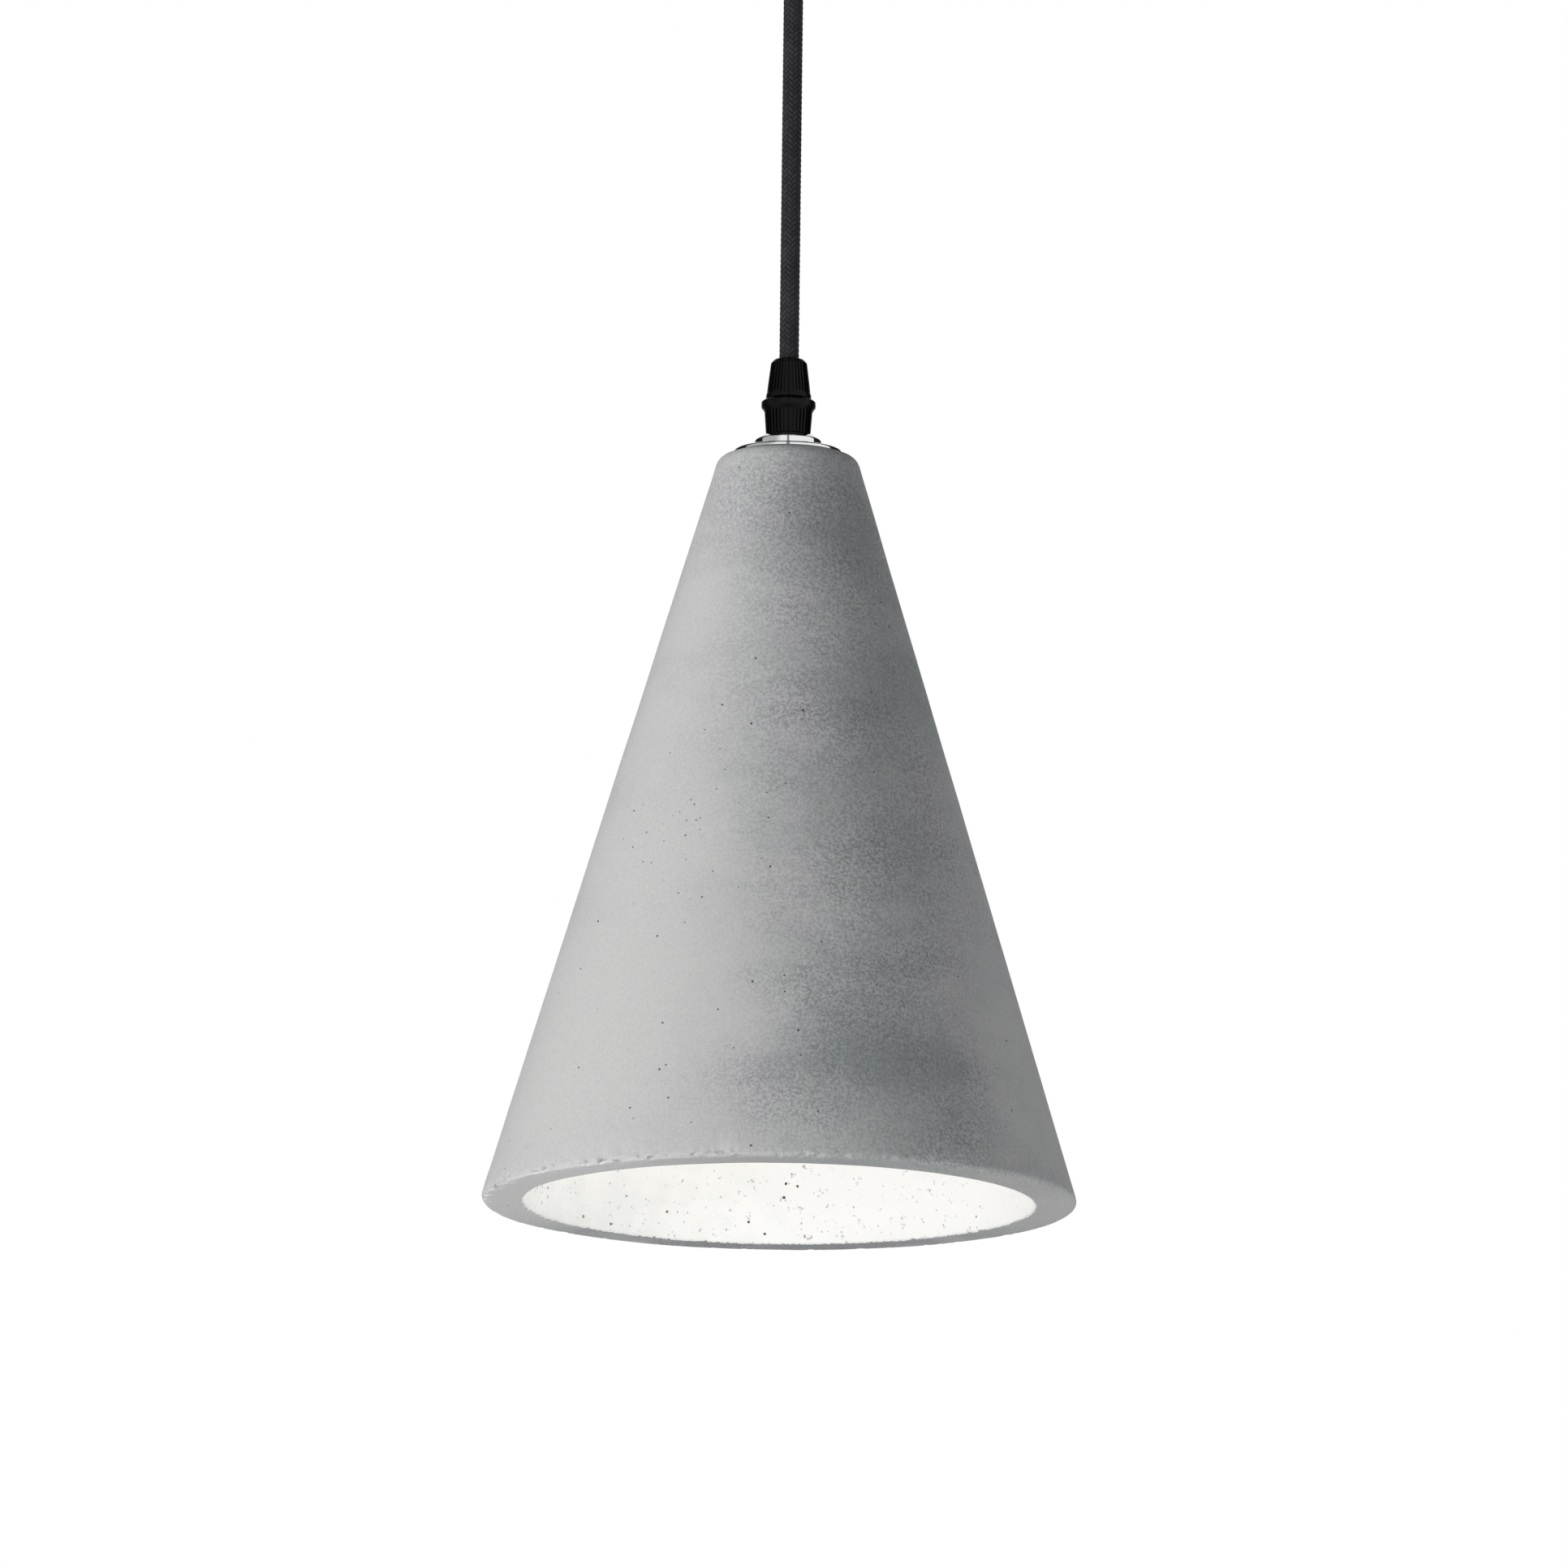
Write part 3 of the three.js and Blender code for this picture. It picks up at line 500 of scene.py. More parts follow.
# %% [markdown]
# ## The cord
#
# The cord is a round cable under a braid of 24 yarns: twelve wind to the left and twelve to the right, and
# each passes over two of the others and then under two. A tube with that relief in its own vertices shows
# the weave in its outline, which a flat tube with a bump pattern would not. At each point the two yarn
# families have a number, and whichever lies on top gives the height.

# %% Braided tube
COLUMNS = YARNS * 10
RING_STEP = 0.22
END_GAP = 0.05  # the ball ends stop this far short of their tips, which leaves a small flat cap


def braid_height(around, along):
    """Height from 0 to 1, the yarn on top and its family, at a turn from 0 to 1 and a height in mm."""
    left = around * YARNS + along / BRAID_PITCH
    right = around * YARNS - along / BRAID_PITCH
    left_on_top = (math.floor(left) + math.floor(right)) % 4 < 2
    if left_on_top:
        over, under, float_at = left, right, (right + math.floor(left)) % 4 / 2
    else:
        over, under, float_at = right, left, (left + math.floor(right)) % 4 / 2 - 1
    crown = math.sin(math.pi * (over % 1)) ** 0.6 * (0.62 + 0.38 * math.sin(math.pi * float_at))
    below = 0.34 * math.sin(math.pi * (under % 1)) ** 0.6
    family = 0 if left_on_top else 1
    return max(crown, below), math.floor(over) % YARNS + YARNS * family, family


def ball_radius(height, top, bottom):
    """The cord's radius, which rounds to nothing at its two ends inside the grips."""
    beyond = max(height - top, bottom - height, 0)
    return math.sqrt(max(CORD_RADIUS**2 - beyond**2, 0.0)) / CORD_RADIUS


def braided_tube(name, top, bottom, ball_ends):
    end = CORD_RADIUS - END_GAP if ball_ends else 0
    low, high = bottom - end, top + end
    rings = round((high - low) / RING_STEP)
    draw = random.Random(11)
    tint = [draw.random() for _ in range(2 * YARNS)]
    points, crowns, yarns, families = [], [], [], []
    for i in range(rings + 1):
        height = low + (high - low) * i / rings
        scale = ball_radius(height, top, bottom) if ball_ends else 1
        for j in range(COLUMNS):
            level, yarn, family = braid_height(j / COLUMNS, height)
            radius = (CORD_RADIUS - BRAID_RELIEF * (1 - level)) * scale * MM
            angle = 2 * math.pi * j / COLUMNS
            points.append((radius * math.cos(angle), radius * math.sin(angle), height * MM))
            crowns.append(level)
            yarns.append(tint[yarn])
            families.append(family)
    quads = []
    for i in range(rings):
        for j in range(COLUMNS):
            k = (j + 1) % COLUMNS
            quads.append((i * COLUMNS + j, i * COLUMNS + k, (i + 1) * COLUMNS + k, (i + 1) * COLUMNS + j))
    quads.append(tuple(reversed(range(COLUMNS))))
    quads.append(tuple(rings * COLUMNS + j for j in range(COLUMNS)))
    mesh = bpy.data.meshes.new(name)
    mesh.from_pydata(points, [], quads)
    for label, values in (("crown", crowns), ("yarn", yarns), ("family", families)):
        mesh.attributes.new(label, "FLOAT", "POINT").data.foreach_set("value", values)
    mesh.shade_smooth()
    mesh.materials.append(textile)
    tube = bpy.data.objects.new(name, mesh)
    bpy.context.scene.collection.objects.link(tube)
    print(name, len(mesh.polygons), "faces,", round(high - low, 1), "mm long")
    return tube


# %% [markdown]
# ### Hanging the cord between its grips
#
# The free cord leaves the upper grip, hangs straight down and goes into the lower one. It takes the CAD
# cord's place, and its placement is baked into its mesh. The two tails are the same cord's ends, inside the
# canopy and inside the shade, and each rides with the body that it sits in.

# %% Hang the cord
cord = braided_tube("braided_cord", CORD_TOP, CORD_BOTTOM, True)
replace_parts(cord, "cord")
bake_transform(cord)

for name, node, body in (
    ("braided_tail_upper", "cord_tail_top", "ceiling_fitting"),
    ("braided_tail_lower", "cord_tail_bottom", "pendant"),
):
    low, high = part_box(node)
    tail = braided_tube(name, high[2] / MM, low[2] / MM, False)
    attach(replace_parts(tail, node), body)

# %% [markdown]
# ## Turning on a lathe
#
# Most lamp parts are turned or moulded round. By hand: start from a plane, merge it to one point, move that
# to the first corner, extrude it from corner to corner to draw half the section, and spin the line round
# the axis. Merging doubles closes the seam, and then the normals are made to point out. `rounded` turns
# each sharp corner that has a radius into a short arc first.


# %% Lathe helpers
def rounded(corners, arc_steps=6):
    """Corners are (radius, height) or (radius, height, rounding), in mm."""
    spots = [Vector(corner[:2]) for corner in corners]
    points = []
    for i, corner in enumerate(corners):
        if len(corner) < 3:
            points.append(spots[i])
            continue
        back = (spots[i - 1] - spots[i]).normalized()
        ahead = (spots[(i + 1) % len(spots)] - spots[i]).normalized()
        half = back.angle(ahead) / 2
        reach = corner[2] / math.tan(half)
        start, end = spots[i] + back * reach, spots[i] + ahead * reach
        centre = spots[i] + (back + ahead).normalized() * (corner[2] / math.sin(half))
        sweep = (start - centre).angle_signed(end - centre)
        for step in range(arc_steps + 1):
            turned_by = -sweep * step / arc_steps
            arm = start - centre
            cos, sin = math.cos(turned_by), math.sin(turned_by)
            points.append(centre + Vector((arm.x * cos - arm.y * sin, arm.x * sin + arm.y * cos)))
    return points


def deselect():
    bpy.ops.object.select_all(action="DESELECT")


def pick(obj):
    deselect()
    obj.select_set(True)
    bpy.context.view_layer.objects.active = obj


def edit(obj, kind="VERT"):
    pick(obj)
    bpy.ops.object.mode_set(mode="EDIT")
    bpy.ops.mesh.select_mode(type=kind)
    bpy.ops.mesh.select_all(action="SELECT")


def leave_edit():
    bpy.ops.object.mode_set(mode="OBJECT")


def named(obj, name, material):
    obj.name = obj.data.name = name
    obj.data.materials.clear()
    obj.data.materials.append(material)
    return obj


def smoothed(obj, angle=35):
    pick(obj)
    bpy.ops.object.shade_smooth_by_angle(angle=math.radians(angle))
    return obj


def turned(name, corners, material, steps=96, arc_steps=6, closed=True):
    """A piece spun about Z. A closed outline returns to its start; an open one ends on the axis."""
    line = rounded(corners, arc_steps)
    if closed:
        line.append(line[0].copy())
    deselect()
    bpy.ops.mesh.primitive_plane_add(size=MM)
    obj = bpy.context.object
    edit(obj)
    bpy.ops.mesh.merge(type="CENTER")
    bpy.ops.transform.translate(value=(line[0].x * MM, 0, line[0].y * MM))
    for here, there in zip(line, line[1:]):
        hop = (there - here) * MM
        bpy.ops.mesh.extrude_vertices_move(TRANSFORM_OT_translate={"value": (hop.x, 0, hop.y)})
    bpy.ops.mesh.select_all(action="SELECT")
    bpy.ops.mesh.spin(steps=steps, angle=2 * math.pi, center=(0, 0, 0), axis=(0, 0, 1))
    bpy.ops.mesh.select_all(action="SELECT")
    bpy.ops.mesh.remove_doubles(threshold=2e-6)
    bpy.ops.mesh.normals_make_consistent(inside=False)
    leave_edit()
    return named(obj, name, material)


def dress(obj, node, body):
    """The piece takes the CAD node's place, and the difference in their sizes is printed."""
    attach(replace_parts(obj, node), body)
    low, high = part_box(node)
    spots = [v.co for v in obj.data.vertices]
    mine = [(min(s[i] for s in spots), max(s[i] for s in spots)) for i in range(3)]
    off = max(max(abs(mine[i][0] - low[i]), abs(mine[i][1] - high[i])) for i in range(3))
    print(f"{obj.name}: {len(obj.data.polygons)} faces, at most {off / MM:.2f} mm off {node}")
    return obj


# %% [markdown]
# ## The concrete shade
#
# The shade is cast between two cones, so it is turned from one closed outline: rim, outer side, top, bore,
# crown and inner side. Extra points along the sides give the later steps something to move. Near the rim
# the faces are subdivided, because that is where the edge crumbles.

# %% Turn the shade
inner_rim = RIM_RADIUS - WALL
inner_top = inner_rim - SLOPE * (CROWN_BOTTOM - SHADE_RIM)


def along(start, end, count):
    """Points between two corners, without the corners."""
    steps = range(1, count + 1)
    return [tuple(a + (b - a) * i / (count + 1) for a, b in zip(start, end)) for i in steps]


outer_foot = (RIM_RADIUS - 5 * SLOPE, SHADE_RIM + 5)
outer_head = (TOP_RADIUS + 7 * SLOPE, SHADE_TOP - 7)
inner_foot = (inner_rim - 4 * SLOPE, SHADE_RIM + 4)
inner_head = (inner_top + 5 * SLOPE, CROWN_BOTTOM - 5)
shade_outline = [
    (inner_rim, SHADE_RIM, 1.2),
    *along((inner_rim + 1.5, SHADE_RIM), (RIM_RADIUS - 3.2, SHADE_RIM), 5),
    (RIM_RADIUS, SHADE_RIM, 1.8),
    outer_foot,
    *along(outer_foot, outer_head, 50),
    outer_head,
    (TOP_RADIUS, SHADE_TOP, 5),
    (BORE, SHADE_TOP),
    (BORE, CROWN_BOTTOM),
    (inner_top, CROWN_BOTTOM, 3),
    inner_head,
    *along(inner_head, inner_foot, 26),
    inner_foot,
]
shade = turned("concrete_shade", shade_outline, concrete, steps=420, arc_steps=5)
print("shade before its edge crumbles:", len(shade.data.polygons), "faces")

# %% [markdown]
# The rim is refined and then given two Displace modifiers. A Clouds texture whose ramp is flat almost
# everywhere bites out a few chips, and a finer one roughens the whole outer edge. A vertex group keeps both
# to the edge. A third, broad one makes the cast walls very slightly uneven.


# %% Crumble the rim
def choose_faces(obj, test):
    """In edit mode, selects the faces whose centre and normal pass the test."""
    mesh = bmesh.from_edit_mesh(obj.data)
    for face in mesh.faces:
        face.select_set(test(face.calc_center_median() / MM, face.normal))
    bmesh.update_edit_mesh(obj.data)


def weigh(obj, group_name, weight_at):
    group = obj.vertex_groups.new(name=group_name)
    for vertex in obj.data.vertices:
        weight = weight_at(vertex.co / MM)
        if weight > 0.01:
            group.add([vertex.index], min(weight, 1), "REPLACE")


def displaced(obj, label, grain, strength, group, stops):
    texture = bpy.data.textures.new(label, "CLOUDS")
    texture.noise_scale = grain * MM
    texture.noise_depth = 3
    texture.use_color_ramp = True
    ramp = texture.color_ramp.elements
    for element, (place, value) in zip(ramp, stops):
        element.position, element.color = place, (value, value, value, 1)
    modifier = obj.modifiers.new(label, "DISPLACE")
    modifier.texture = texture
    modifier.texture_coords = "LOCAL"
    modifier.strength = strength * MM
    modifier.mid_level = 0
    modifier.vertex_group = group
    apply_modifier(obj, modifier)


def apply_modifier(obj, modifier):
    pick(obj)
    bpy.ops.object.modifier_apply(modifier=modifier.name)


def near_rim(centre, normal):
    outside = centre.xy.length > RIM_RADIUS - 8
    return centre.z < SHADE_RIM + 5.5 and outside


def edge_weight(spot):
    gap = math.hypot(spot.xy.length - (RIM_RADIUS - 1.6), spot.z - (SHADE_RIM + 1.4))
    worn_side = max(0, math.cos(math.atan2(spot.x, -spot.y) + 0.85))
    return (1 - gap / 3.6) * (0.22 + 0.78 * worn_side**2)


edit(shade, "FACE")
choose_faces(shade, near_rim)
bpy.ops.mesh.subdivide(number_cuts=1)
leave_edit()
weigh(shade, "outer edge", edge_weight)
weigh(shade, "walls", lambda spot: 0 if spot.xy.length < 24 else 1)
displaced(shade, "chips", 3.4, -1.8, "outer edge", [(0.56, 0), (0.74, 1)])
displaced(shade, "crumbs", 1.1, -0.36, "outer edge", [(0.4, 0), (0.8, 1)])
displaced(shade, "cast walls", 34, -0.18, "walls", [(0.2, 0), (0.8, 1)])
print("shade after its edge crumbles:", len(shade.data.polygons), "faces")

# %% [markdown]
# Air bubbles leave round holes in cast concrete, most of all inside. One low ball is made, copied into
# place with its own mesh each time, and the copies are joined into one cutter for a Boolean modifier. A
# seeded draw places them, and one that would touch another is left out.

# %% Air holes
draw = random.Random(23)
bubble_spots = []


def place_bubble(radius_here, height, turn_by, size):
    spot = Vector((radius_here * math.sin(turn_by), -radius_here * math.cos(turn_by), height))
    if all((spot - other).length > size + reach + 0.4 for other, reach in bubble_spots):
        bubble_spots.append((spot, size))


while len(bubble_spots) < 600:
    height = SHADE_RIM + 2.5 + draw.random() ** 1.7 * 120
    angle = draw.gauss(-2.6, 0.5) if draw.random() < 0.4 else draw.uniform(-3.14, 3.14)
    size = 0.18 + 0.45 * draw.random() ** 3
    place_bubble(inner_rim - (height - SHADE_RIM) * SLOPE + 0.2 * size, height, angle, size)
while len(bubble_spots) < 760:
    height = SHADE_RIM + 7 + draw.random() ** 1.2 * 190
    cluster = draw.random() < 0.35
    angle = draw.gauss(-0.6, 0.25) if cluster else draw.uniform(-3.14, 3.14)
    height = draw.gauss(SHADE_RIM + 110, 13) if cluster else height
    size = 0.19 + 0.2 * draw.random() ** 2
    place_bubble(RIM_RADIUS - (height - SHADE_RIM) * SLOPE - 0.2 * size, height, angle, size)

deselect()
bpy.ops.mesh.primitive_uv_sphere_add(segments=8, ring_count=6, radius=MM)
bubble = bpy.context.object
bubbles = [bubble]
for spot, size in bubble_spots:
    copy = bubble.copy()
    copy.data = bubble.data.copy()
    copy.location = spot * MM
    copy.scale = (size * draw.uniform(0.8, 1.25), size * draw.uniform(0.8, 1.25), size)
    copy.rotation_euler = [draw.uniform(0, 3) for _ in range(3)]
    bpy.context.scene.collection.objects.link(copy)
    bubbles.append(copy)
bpy.data.objects.remove(bubbles.pop(0))


def joined(objects):
    deselect()
    for obj in objects:
        obj.select_set(True)
    bpy.context.view_layer.objects.active = objects[0]
    bpy.ops.object.join()
    whole = bpy.context.object
    bpy.ops.object.transform_apply(location=True, rotation=True, scale=True)
    return whole


def cut_with(obj, cutter, operation="DIFFERENCE"):
    """A Boolean modifier, applied, after which the cutter is thrown away."""
    modifier = obj.modifiers.new("cut", "BOOLEAN")
    modifier.object = cutter
    modifier.operation = operation
    modifier.solver = "MANIFOLD"
    apply_modifier(obj, modifier)
    bpy.data.objects.remove(cutter)
    return obj


cutter = joined(bubbles)
cut_with(shade, cutter)
shade.data.materials.clear()
shade.data.materials.append(concrete)
smoothed(shade, 32)
dress(shade, "shade", "pendant")

# %% [markdown]
# ## The chrome boss and flange
#
# A thin flange spreads the load on the concrete, and a low boss with a rounded shoulder sits on it. Both
# are turned with wide, fine arcs, because a mirror shows every flat.

# %% Chrome fitting
boss = turned(
    "chrome_boss_dome",
    [
        (BORE, BOSS_FOOT),
        (10.9, BOSS_FOOT, 0.2),
        (10.9, BOSS_TOP - 1.7, 0.9),
        (8.0, BOSS_TOP, 1.7),
        (BORE, BOSS_TOP),
    ],
    chrome,
    steps=160,
    arc_steps=10,
)
dress(smoothed(boss), "chrome_boss", "pendant")

flange = turned(
    "chrome_flange_disc",
    [
        (BORE, FLANGE_TOP - 1.5),
        (17.7, FLANGE_TOP - 1.5, 0.35),
        (17.7, FLANGE_TOP, 0.9),
        (BORE, FLANGE_TOP),
    ],
    chrome,
    steps=200,
    arc_steps=8,
)
dress(smoothed(flange), "chrome_flange", "pendant")

# %% [markdown]
# ## The cord grips
#
# A cord grip is a ribbed body with a toothed collar, and a ribbed cap that closes round the cord. The
# smooth shape is turned first. Then every second pair of face columns is extruded and scaled towards the
# axis, which leaves ribs standing between grooves. The same tool cuts the teeth on the collar.

# %% Cut ribs
RIB_COLUMNS = 4  # face columns for one rib and its groove


def grooved(obj, steps, low, high, reach, depth, share=0.5, offset=0.25):
    """Grooves along the outside between two heights; reach is the smallest radius that counts."""

    def in_groove(centre, normal):
        if not low < centre.z < high or centre.xy.length < reach or normal.xy.length < 0.3:
            return False
        column = math.atan2(centre.y, centre.x) / (2 * math.pi) * steps / RIB_COLUMNS + offset
        return column % 1 < share

    edit(obj, "FACE")
    choose_faces(obj, in_groove)
    bpy.ops.mesh.extrude_region_move(TRANSFORM_OT_translate={"value": (0, 0, 0)})
    size = 1 - depth / reach
    bpy.ops.transform.resize(value=(size, size, 1), center_override=(0, 0, 0))
    leave_edit()
    return obj


# %% [markdown]
# ### The lower grip
#
# It is modelled where it sits. Its mouth closes on the cord with just enough room to swing.


# %% Lower grip
def grip_body(name, base):
    body = turned(
        name,
        [
            (5.2, base),
            (7.2, base, 0.25),
            (7.45, base + 3.4),
            (7.75, base + 7.6, 0.8),
            (8.8, base + 9.0, 0.35),
            (8.8, base + 10.7, 0.35),
            (8.1, base + 11.3, 0.2),
            (5.0, base + 11.3),
            (5.0, base + 18),
            (4.5, base + 19.4),
            (3.6, base + 19.4),
            (3.6, base + 8.6),
            (5.2, base + 8.6),
        ],
        black_plastic,
        steps=144,
        arc_steps=3,
    )
    grooved(body, 144, base + 0.35, base + 7.7, 7.1, 0.42)
    grooved(body, 144, base + 10.75, base + 11.2, 7.9, 0.5)
    return smoothed(body, 30)


def grip_cap(name, base, mouth):
    foot, top = base + 11.8, base + 25.2
    cap = turned(
        name,
        [
            (5.4, foot),
            (7.3, foot, 0.25),
            (7.3, foot + 1.3, 0.2),
            (7.05, foot + 1.9),
            (6.75, foot + 4.6),
            (5.85, top - 1.6, 0.6),
            (4.9, top - 0.5, 0.8),
            (mouth, top, 0.3),
            (3.6, top - 0.9),
            (3.6, top - 4.2),
            (5.4, top - 6.4),
        ],
        black_plastic,
        steps=144,
        arc_steps=4,
    )
    grooved(cap, 144, foot + 2.1, top - 1.7, 5.7, 0.34)
    return smoothed(cap, 30)


lower_body = grip_body("lower_grip_body_ribbed", LOWER_GRIP_BASE)
lower_cap = grip_cap("lower_grip_cap_ribbed", LOWER_GRIP_BASE, 3.6)

# %% [markdown]
# ### The upper grip
#
# It is the same moulding the other way up. Each piece is copied with its own mesh, turned over
# in edit mode and moved to the canopy, so that its object stays at the origin.


# %% Upper grip
def turned_over(obj, name, shift):
    copy = obj.copy()
    copy.data = obj.data.copy()
    bpy.context.scene.collection.objects.link(copy)
    copy.name = copy.data.name = name
    edit(copy)
    bpy.ops.transform.rotate(value=math.pi, orient_axis="X", center_override=(0, 0, 0))
    bpy.ops.transform.translate(value=(0, 0, shift * MM))
    leave_edit()
    return copy


flip_shift = LOWER_GRIP_BASE + UPPER_GRIP_BASE
upper_body = turned_over(lower_body, "upper_grip_body_ribbed", flip_shift)
upper_cap = turned_over(lower_cap, "upper_grip_cap_ribbed", flip_shift)
dress(lower_body, "shade_grip_body", "pendant")
dress(lower_cap, "shade_grip_cap", "lower_grip_cap")
dress(upper_body, "canopy_grip_body", "ceiling_fitting")
dress(upper_cap, "canopy_grip_cap", "upper_grip_cap")

# %% [markdown]
# ## The canopy and its thumb screws
#
# The canopy is a pressed and plated cup: a closed thin outline, spun, with its lower edge rounded by the
# press. Two holes near the ceiling take knurled thumb screws. A cylinder along X, cut away with a Boolean,
# drills both holes at once.

# %% Canopy
SCREW_LEVEL = -9  # the height of the two thumb screws, which the bracket's ears share
canopy = turned(
    "canopy_cup",
    [
        (BORE, CANOPY_BOTTOM),
        (50, CANOPY_BOTTOM, 5),
        (50, -0.3, 0.4),
        (48.8, -0.3, 0.4),
        (48.8, CANOPY_BOTTOM + 1.2, 3.8),
        (BORE, CANOPY_BOTTOM + 1.2),
    ],
    chrome,
    steps=192,
    arc_steps=10,
)
deselect()
bpy.ops.mesh.primitive_cylinder_add(vertices=32, radius=2.1 * MM, depth=0.12, rotation=(0, math.pi / 2, 0))
drill = bpy.context.object
drill.location.z = SCREW_LEVEL * MM
bpy.ops.object.transform_apply(location=True, rotation=True, scale=True)
cut_with(canopy, drill)
dress(smoothed(canopy), "canopy", "ceiling_fitting")

# %% [markdown]
# A thumb screw has a smooth shank and a knurled head that fingers can grip. It is turned standing up, knurled
# with the grooving tool, and then laid on its side in edit mode. One function makes both, each pointing out
# through its own side of the canopy.


# %% Thumb screws
def thumb_screw(name, node, side):
    screw = turned(
        name,
        [
            (0, 43),
            (1.7, 43, 0.4),
            (1.7, 50.3),
            (4, 50.3, 0.35),
            (4, 55.3, 0.7),
            (2.4, 55.3, 0.15),
            (2.1, 54.8, 0.15),
            (0, 54.8),
        ],
        chrome,
        steps=112,
        arc_steps=4,
        closed=False,
    )
    grooved(screw, 112, 50.8, 54.5, 3.8, 0.22)
    edit(screw)
    bpy.ops.transform.rotate(value=-side * math.pi / 2, orient_axis="Y", center_override=(0, 0, 0))
    bpy.ops.transform.translate(value=(0, 0, SCREW_LEVEL * MM))
    leave_edit()
    return dress(smoothed(screw, 30), node, "ceiling_fitting")


thumb_screw("thumb_screw_left", "canopy_screw_left", -1)
thumb_screw("thumb_screw_right", "canopy_screw_right", 1)

# %% [markdown]
# ## The ceiling bracket
#
# The bracket is a strap of 2 mm steel with its ends bent down. A cube is sized to the strap and its corners
# are bevelled. Two more cubes make the ears and are united with it. Long slots for the ceiling screws and
# round holes for the small ones are cut with Booleans, and a last Bevel modifier eases every edge.


# %% Bracket
def block(name, low, high, material, corner=0.0):
    """A cube between two corners in mm, with its upright edges bevelled when a corner is given."""
    deselect()
    bpy.ops.mesh.primitive_cube_add(size=1)
    obj = bpy.context.object
    size = [(b - a) * MM for a, b in zip(low, high)]
    middle = [(b + a) / 2 * MM for a, b in zip(low, high)]
    edit(obj, "EDGE")
    bpy.ops.transform.resize(value=size, center_override=(0, 0, 0))
    bpy.ops.transform.translate(value=middle)
    if corner:
        mesh = bmesh.from_edit_mesh(obj.data)
        for edge in mesh.edges:
            run = edge.verts[0].co - edge.verts[1].co
            edge.select_set(abs(run.z) > 0.9 * run.length)
        bmesh.update_edit_mesh(obj.data)
        bpy.ops.mesh.bevel(offset=corner * MM, segments=5, affect="EDGES")
    leave_edit()
    return named(obj, name, material)


def pin(radius, length, place, vertices=32):
    deselect()
    bpy.ops.mesh.primitive_cylinder_add(vertices=vertices, radius=radius * MM, depth=length * MM)
    obj = bpy.context.object
    obj.location = Vector(place) * MM
    bpy.ops.object.transform_apply(location=True, rotation=True, scale=True)
    return obj


def slot_cutter(side):
    """A cylinder whose outer half is pulled away, which makes a long hole with round ends."""
    cutter = pin(2.25, 8, (side * 31.25, 0, -1))
    edit(cutter)
    mesh = bmesh.from_edit_mesh(cutter.data)
    for vertex in mesh.verts:
        vertex.select_set(side * vertex.co.x > 31.25 * MM)
    bmesh.update_edit_mesh(cutter.data)
    bpy.ops.transform.translate(value=(side * 7.5 * MM, 0, 0))
    leave_edit()
    return cutter


bracket = block("bracket_strap", (-47, -11, -2), (47, 11, 0), zinc, 2.5)
for side in (-1, 1):
    ear = block("ear", (min(side * 45, side * 47), -8, -15), (max(side * 45, side * 47), 8, -1), zinc)
    cut_with(bracket, ear, "UNION")
    cut_with(bracket, slot_cutter(side))
cross_drill = pin(2.0, 100, (0, 0, 0))
edit(cross_drill)
bpy.ops.transform.rotate(value=math.pi / 2, orient_axis="Y", center_override=(0, 0, 0))
bpy.ops.transform.translate(value=(0, 0, SCREW_LEVEL * MM))
leave_edit()
cut_with(bracket, cross_drill)
cut_with(bracket, pin(1.9, 8, (-18, 0, -1)))
cut_with(bracket, pin(1.8, 8, (17, 0, -1)))
edge_bevel = bracket.modifiers.new("eased edges", "BEVEL")
edge_bevel.width = 0.3 * MM
edge_bevel.segments = 2
edge_bevel.limit_method = "ANGLE"
edge_bevel.angle_limit = math.radians(50)
apply_modifier(bracket, edge_bevel)
dress(smoothed(bracket, 20), "ceiling_bracket", "ceiling_fitting")

# %% [markdown]
# ## The lampholder
#
# The holder's hood and skirt are black phenolic mouldings. Both are turned, and the skirt gets a band of
# grip ribs with the same grooving tool as the cord grips.

# %% Lampholder
hood = turned(
    "holder_hood",
    [
        (18.4, HOLDER_TOP - 30),
        (20.5, HOLDER_TOP - 30, 0.4),
        (20.5, HOLDER_TOP - 21, 8),
        (8.5, HOLDER_TOP - 10.5, 3),
        (8.5, HOLDER_TOP, 0.8),
        (5.2, HOLDER_TOP),
        (5.2, HOLDER_TOP - 9),
        (7.4, HOLDER_TOP - 12.6),
        (18.4, HOLDER_TOP - 22.3, 2),
    ],
    phenolic,
    steps=96,
)
dress(smoothed(hood), "holder_cap", "pendant")

skirt_foot = SKIRT_TOP - 29
skirt = turned(
    "holder_skirt_ribbed",
    [
        (15, skirt_foot, 0.3),
        (19.5, skirt_foot, 0.8),
        (19.5, skirt_foot + 12),
        (19.5, SKIRT_TOP, 0.4),
        (17.7, SKIRT_TOP),
        (17.7, skirt_foot + 2.2),
        (15, skirt_foot + 2.2, 0.3),
    ],
    phenolic,
    steps=192,
    arc_steps=4,
)
grooved(skirt, 192, skirt_foot + 0.9, skirt_foot + 11.9, 19.3, 0.5)
dress(smoothed(skirt, 30), "holder_skirt", "pendant")

# %% [markdown]
# ## The bulb
#
# The bulb's dome is a ball below its widest place and a longer ellipse above it, down to the neck of the
# white collar. The metal cap has a rolled thread, drawn here as four rounded ridges.

# %% Bulb
DOME_RADIUS, NECK_RADIUS, SKIN = 30, 24.5, 1.5
cap_top = BULB_TOP - 5.8
cap_foot = cap_top - 19.7
collar_top = cap_foot - 0.3
collar_foot = collar_top - 22
neck = collar_foot - 0.3
dome_centre = BULB_TOP - 108 + DOME_RADIUS


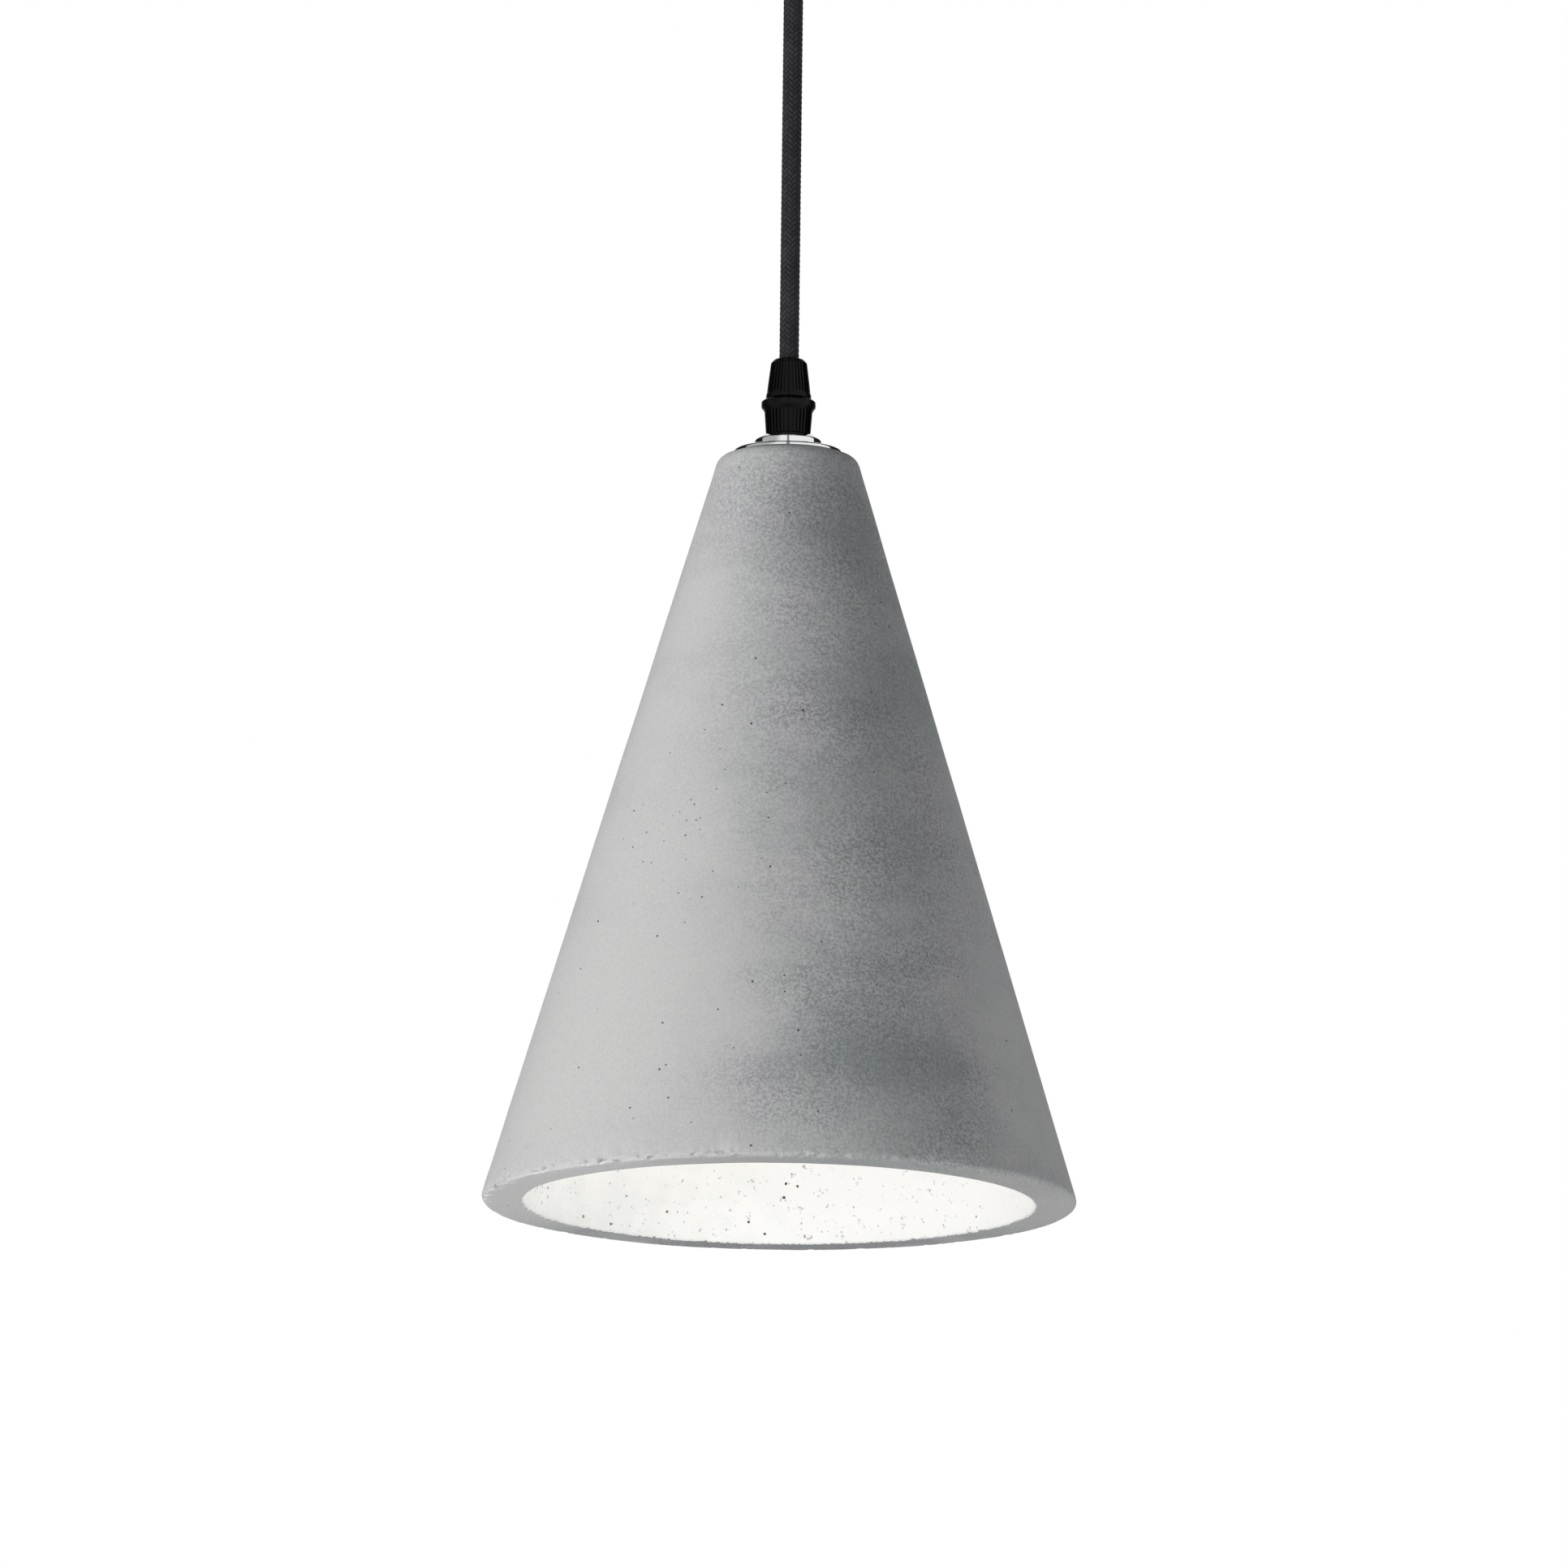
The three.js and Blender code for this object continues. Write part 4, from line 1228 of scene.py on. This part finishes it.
def dome_line(radius, neck_radius):
    """Half the dome's outline from its tip up to its neck."""
    below = [
        (radius * math.sin(math.pi / 2 * i / 16), dome_centre - radius * math.cos(math.pi / 2 * i / 16))
        for i in range(17)
    ]
    last = math.acos(neck_radius / radius)
    rise = (neck - dome_centre) / math.sin(last)
    above = [
        (radius * math.cos(last * i / 8), dome_centre + rise * math.sin(last * i / 8)) for i in range(1, 9)
    ]
    return below + above


dome_outline = dome_line(DOME_RADIUS, NECK_RADIUS) + dome_line(DOME_RADIUS - SKIN, NECK_RADIUS - SKIN)[::-1]
dome = turned("bulb_dome", dome_outline, opal, steps=80, closed=False)
dress(smoothed(dome, 40), "bulb_globe", "bulb")

collar = turned(
    "bulb_collar_cone",
    [
        (NECK_RADIUS - SKIN, collar_foot),
        (NECK_RADIUS, collar_foot),
        (NECK_RADIUS - 0.4, collar_foot + 3, 2),
        (14.4, collar_top, 2),
        (12.4, collar_top),
    ],
    white_plastic,
    steps=80,
)
dress(smoothed(collar), "bulb_collar", "bulb")

thread = []
for ridge in range(4):
    foot = cap_foot + 2.4 + ridge * 3.63
    thread += [(12.5, foot, 0.3), (13.2, foot + 1.8, 0.6)]
screw_cap = turned(
    "bulb_thread_cap",
    [
        (0, cap_top - 1),
        (12, cap_top - 1),
        (12, cap_foot),
        (13.2, cap_foot, 0.3),
        *thread,
        (12.5, cap_top, 0.6),
        (0, cap_top),
    ],
    zinc,
    steps=80,
    arc_steps=4,
    closed=False,
)
dress(smoothed(screw_cap, 40), "bulb_cap", "bulb")

# %% [markdown]
# ## Finishes for the small fittings
#
# The small screws, washers, nuts, wires and boards already have their true shape in the frame, so they
# stay, and only their material changes. The table says which finish each slot of the record takes.

# %% Small fittings
FINISHES = {
    "concrete": concrete,
    "chrome": chrome,
    "black_plastic": black_plastic,
    "textile_cord": textile,
    "zinc_steel": zinc,
    "brass": brass,
    "nylon": nylon,
    "rubber": rubber,
    "phenolic": phenolic,
    "porcelain": porcelain,
    "brown_insulation": brown_wire,
    "blue_insulation": blue_wire,
    "opal": opal,
    "white_plastic": white_plastic,
    "circuit_board": board,
    "vitrite": vitrite,
}
kept = 0
for part in frame["record"]["subparts"]:
    node = frame["nodes"][part["node"]]
    for slot in node.material_slots:
        slot.material = FINISHES[part["material_slot"]]
    kept += not node.hide_render
print(kept, "small fittings keep their CAD shape")

# %% [markdown]
# ## Floor, light and surroundings
#
# The stage is a pale floor well below the lamp that fades into a white background, one large soft light
# from the left, and weak fills. Chrome needs something dark to mirror as well as something bright, so the
# surroundings that light doesn't come from are kept dim: only the camera sees them as white.

# %% Stage
FLOOR_HEIGHT = -1.6
deselect()
bpy.ops.mesh.primitive_circle_add(vertices=96, radius=1.5, fill_type="NGON", location=(0, 0, FLOOR_HEIGHT))
floor = bpy.context.object
floor.name = "floor"

floor_material, paint, place = new_finish("pale_floor")
flat = paint.node("VectorMath", {"operation": "MULTIPLY"}, {0: place, 1: (1, 1, 0)})
distance = paint.node("VectorMath", {"operation": "LENGTH"}, {0: flat}, out="Value")
far = soft_step(distance, 0.35, 1.25)
drift = cloud(place, 60, 2)
pale = blend_colours(soft_step(drift, 0.3, 0.7), (0.86, 0.86, 0.86), (0.83, 0.83, 0.83))
near_shader = paint.node("BsdfPrincipled", None, {"Base Color": pale, "Roughness": 0.8})
far_shader = paint.node("Emission", None, {"Color": (1, 1, 1), "Strength": 1.0})
mixed = paint.node("MixShader", None, {0: far, 1: near_shader, 2: far_shader})
paint.node("OutputMaterial", None, {"Surface": mixed})
floor.data.materials.append(floor_material)
print("the floor is", round(BULB_TOP * MM - FLOOR_HEIGHT, 2), "m below the top of the bulb")

# %% Surroundings
AMBIENT = 0.2
world = bpy.data.worlds.new("studio")
bpy.context.scene.world = world
world.use_nodes = True
world.node_tree.nodes.clear()
sky = Paint(world.node_tree)
seen = sky.node("LightPath", out="Is Camera Ray")
mirrored = sky.node("LightPath", out="Is Glossy Ray")
direction = sky.node("TexCoord", out="Generated")
axes = sky.node("SeparateXYZ", None, {0: direction})
across, away, up = (Paint(sky.tree, axes.socket.node.outputs[i]) for i in range(3))
level = sky.maths("SQRT", across * across + away * away)
frontal = away / level * -1
sideways = across / level
panels = soft_step(frontal, -0.2, -0.12) * (soft_step(sideways, -0.75, -0.35) * 0.5 + 0.45)
rear_panel = soft_step(frontal, -0.86, -0.93) * 0.8
gap = soft_step(sky.maths("ABSOLUTE", sideways), 0.08, 0.05) * (frontal > 0) * 0.75
overhead = soft_step(up, 0.74, 0.82) * 0.95
studio = (panels + rear_panel) * (1 - gap) * (1 - overhead) + 0.015
dim = (1 - mirrored) * AMBIENT + mirrored * studio
strength = seen + (1 - seen) * dim
background = sky.node("Background", None, {"Color": (1, 1, 1), "Strength": strength})
sky.node("OutputWorld", None, {"Surface": background})
print("surroundings have", len(world.node_tree.nodes), "nodes")


# %% Lights
def soft_light(name, azimuth, distance, height, width, tall, watts, tint=(1, 1, 1), aim=-0.33):
    """A large panel. Azimuth is in degrees round from the front, to the right."""
    data = bpy.data.lights.new(name, "AREA")
    data.shape = "RECTANGLE"
    data.size, data.size_y = width, tall
    data.energy = watts
    data.color = tint
    panel = bpy.data.objects.new(name, data)
    bpy.context.scene.collection.objects.link(panel)
    angle = math.radians(azimuth)
    panel.location = (distance * math.sin(angle), -distance * math.cos(angle), height)
    facing = Vector((0, 0, aim)) - panel.location
    panel.rotation_euler = facing.to_track_quat("-Z", "Y").to_euler()
    panel.visible_camera = panel.visible_glossy = False
    return panel


soft_light("key", -52, 2.3, -0.35, 1.4, 2.0, 60)
soft_light("fill", 84, 2.6, -0.6, 1.2, 1.8, 15, (0.94, 0.97, 1.0))
soft_light("bounce", 35, 0.9, -1.55, 1.8, 1.4, 8, aim=-0.3)

bpy.context.scene.view_settings.view_transform = "Standard"
print("lights:", [light.name for light in bpy.data.lights])
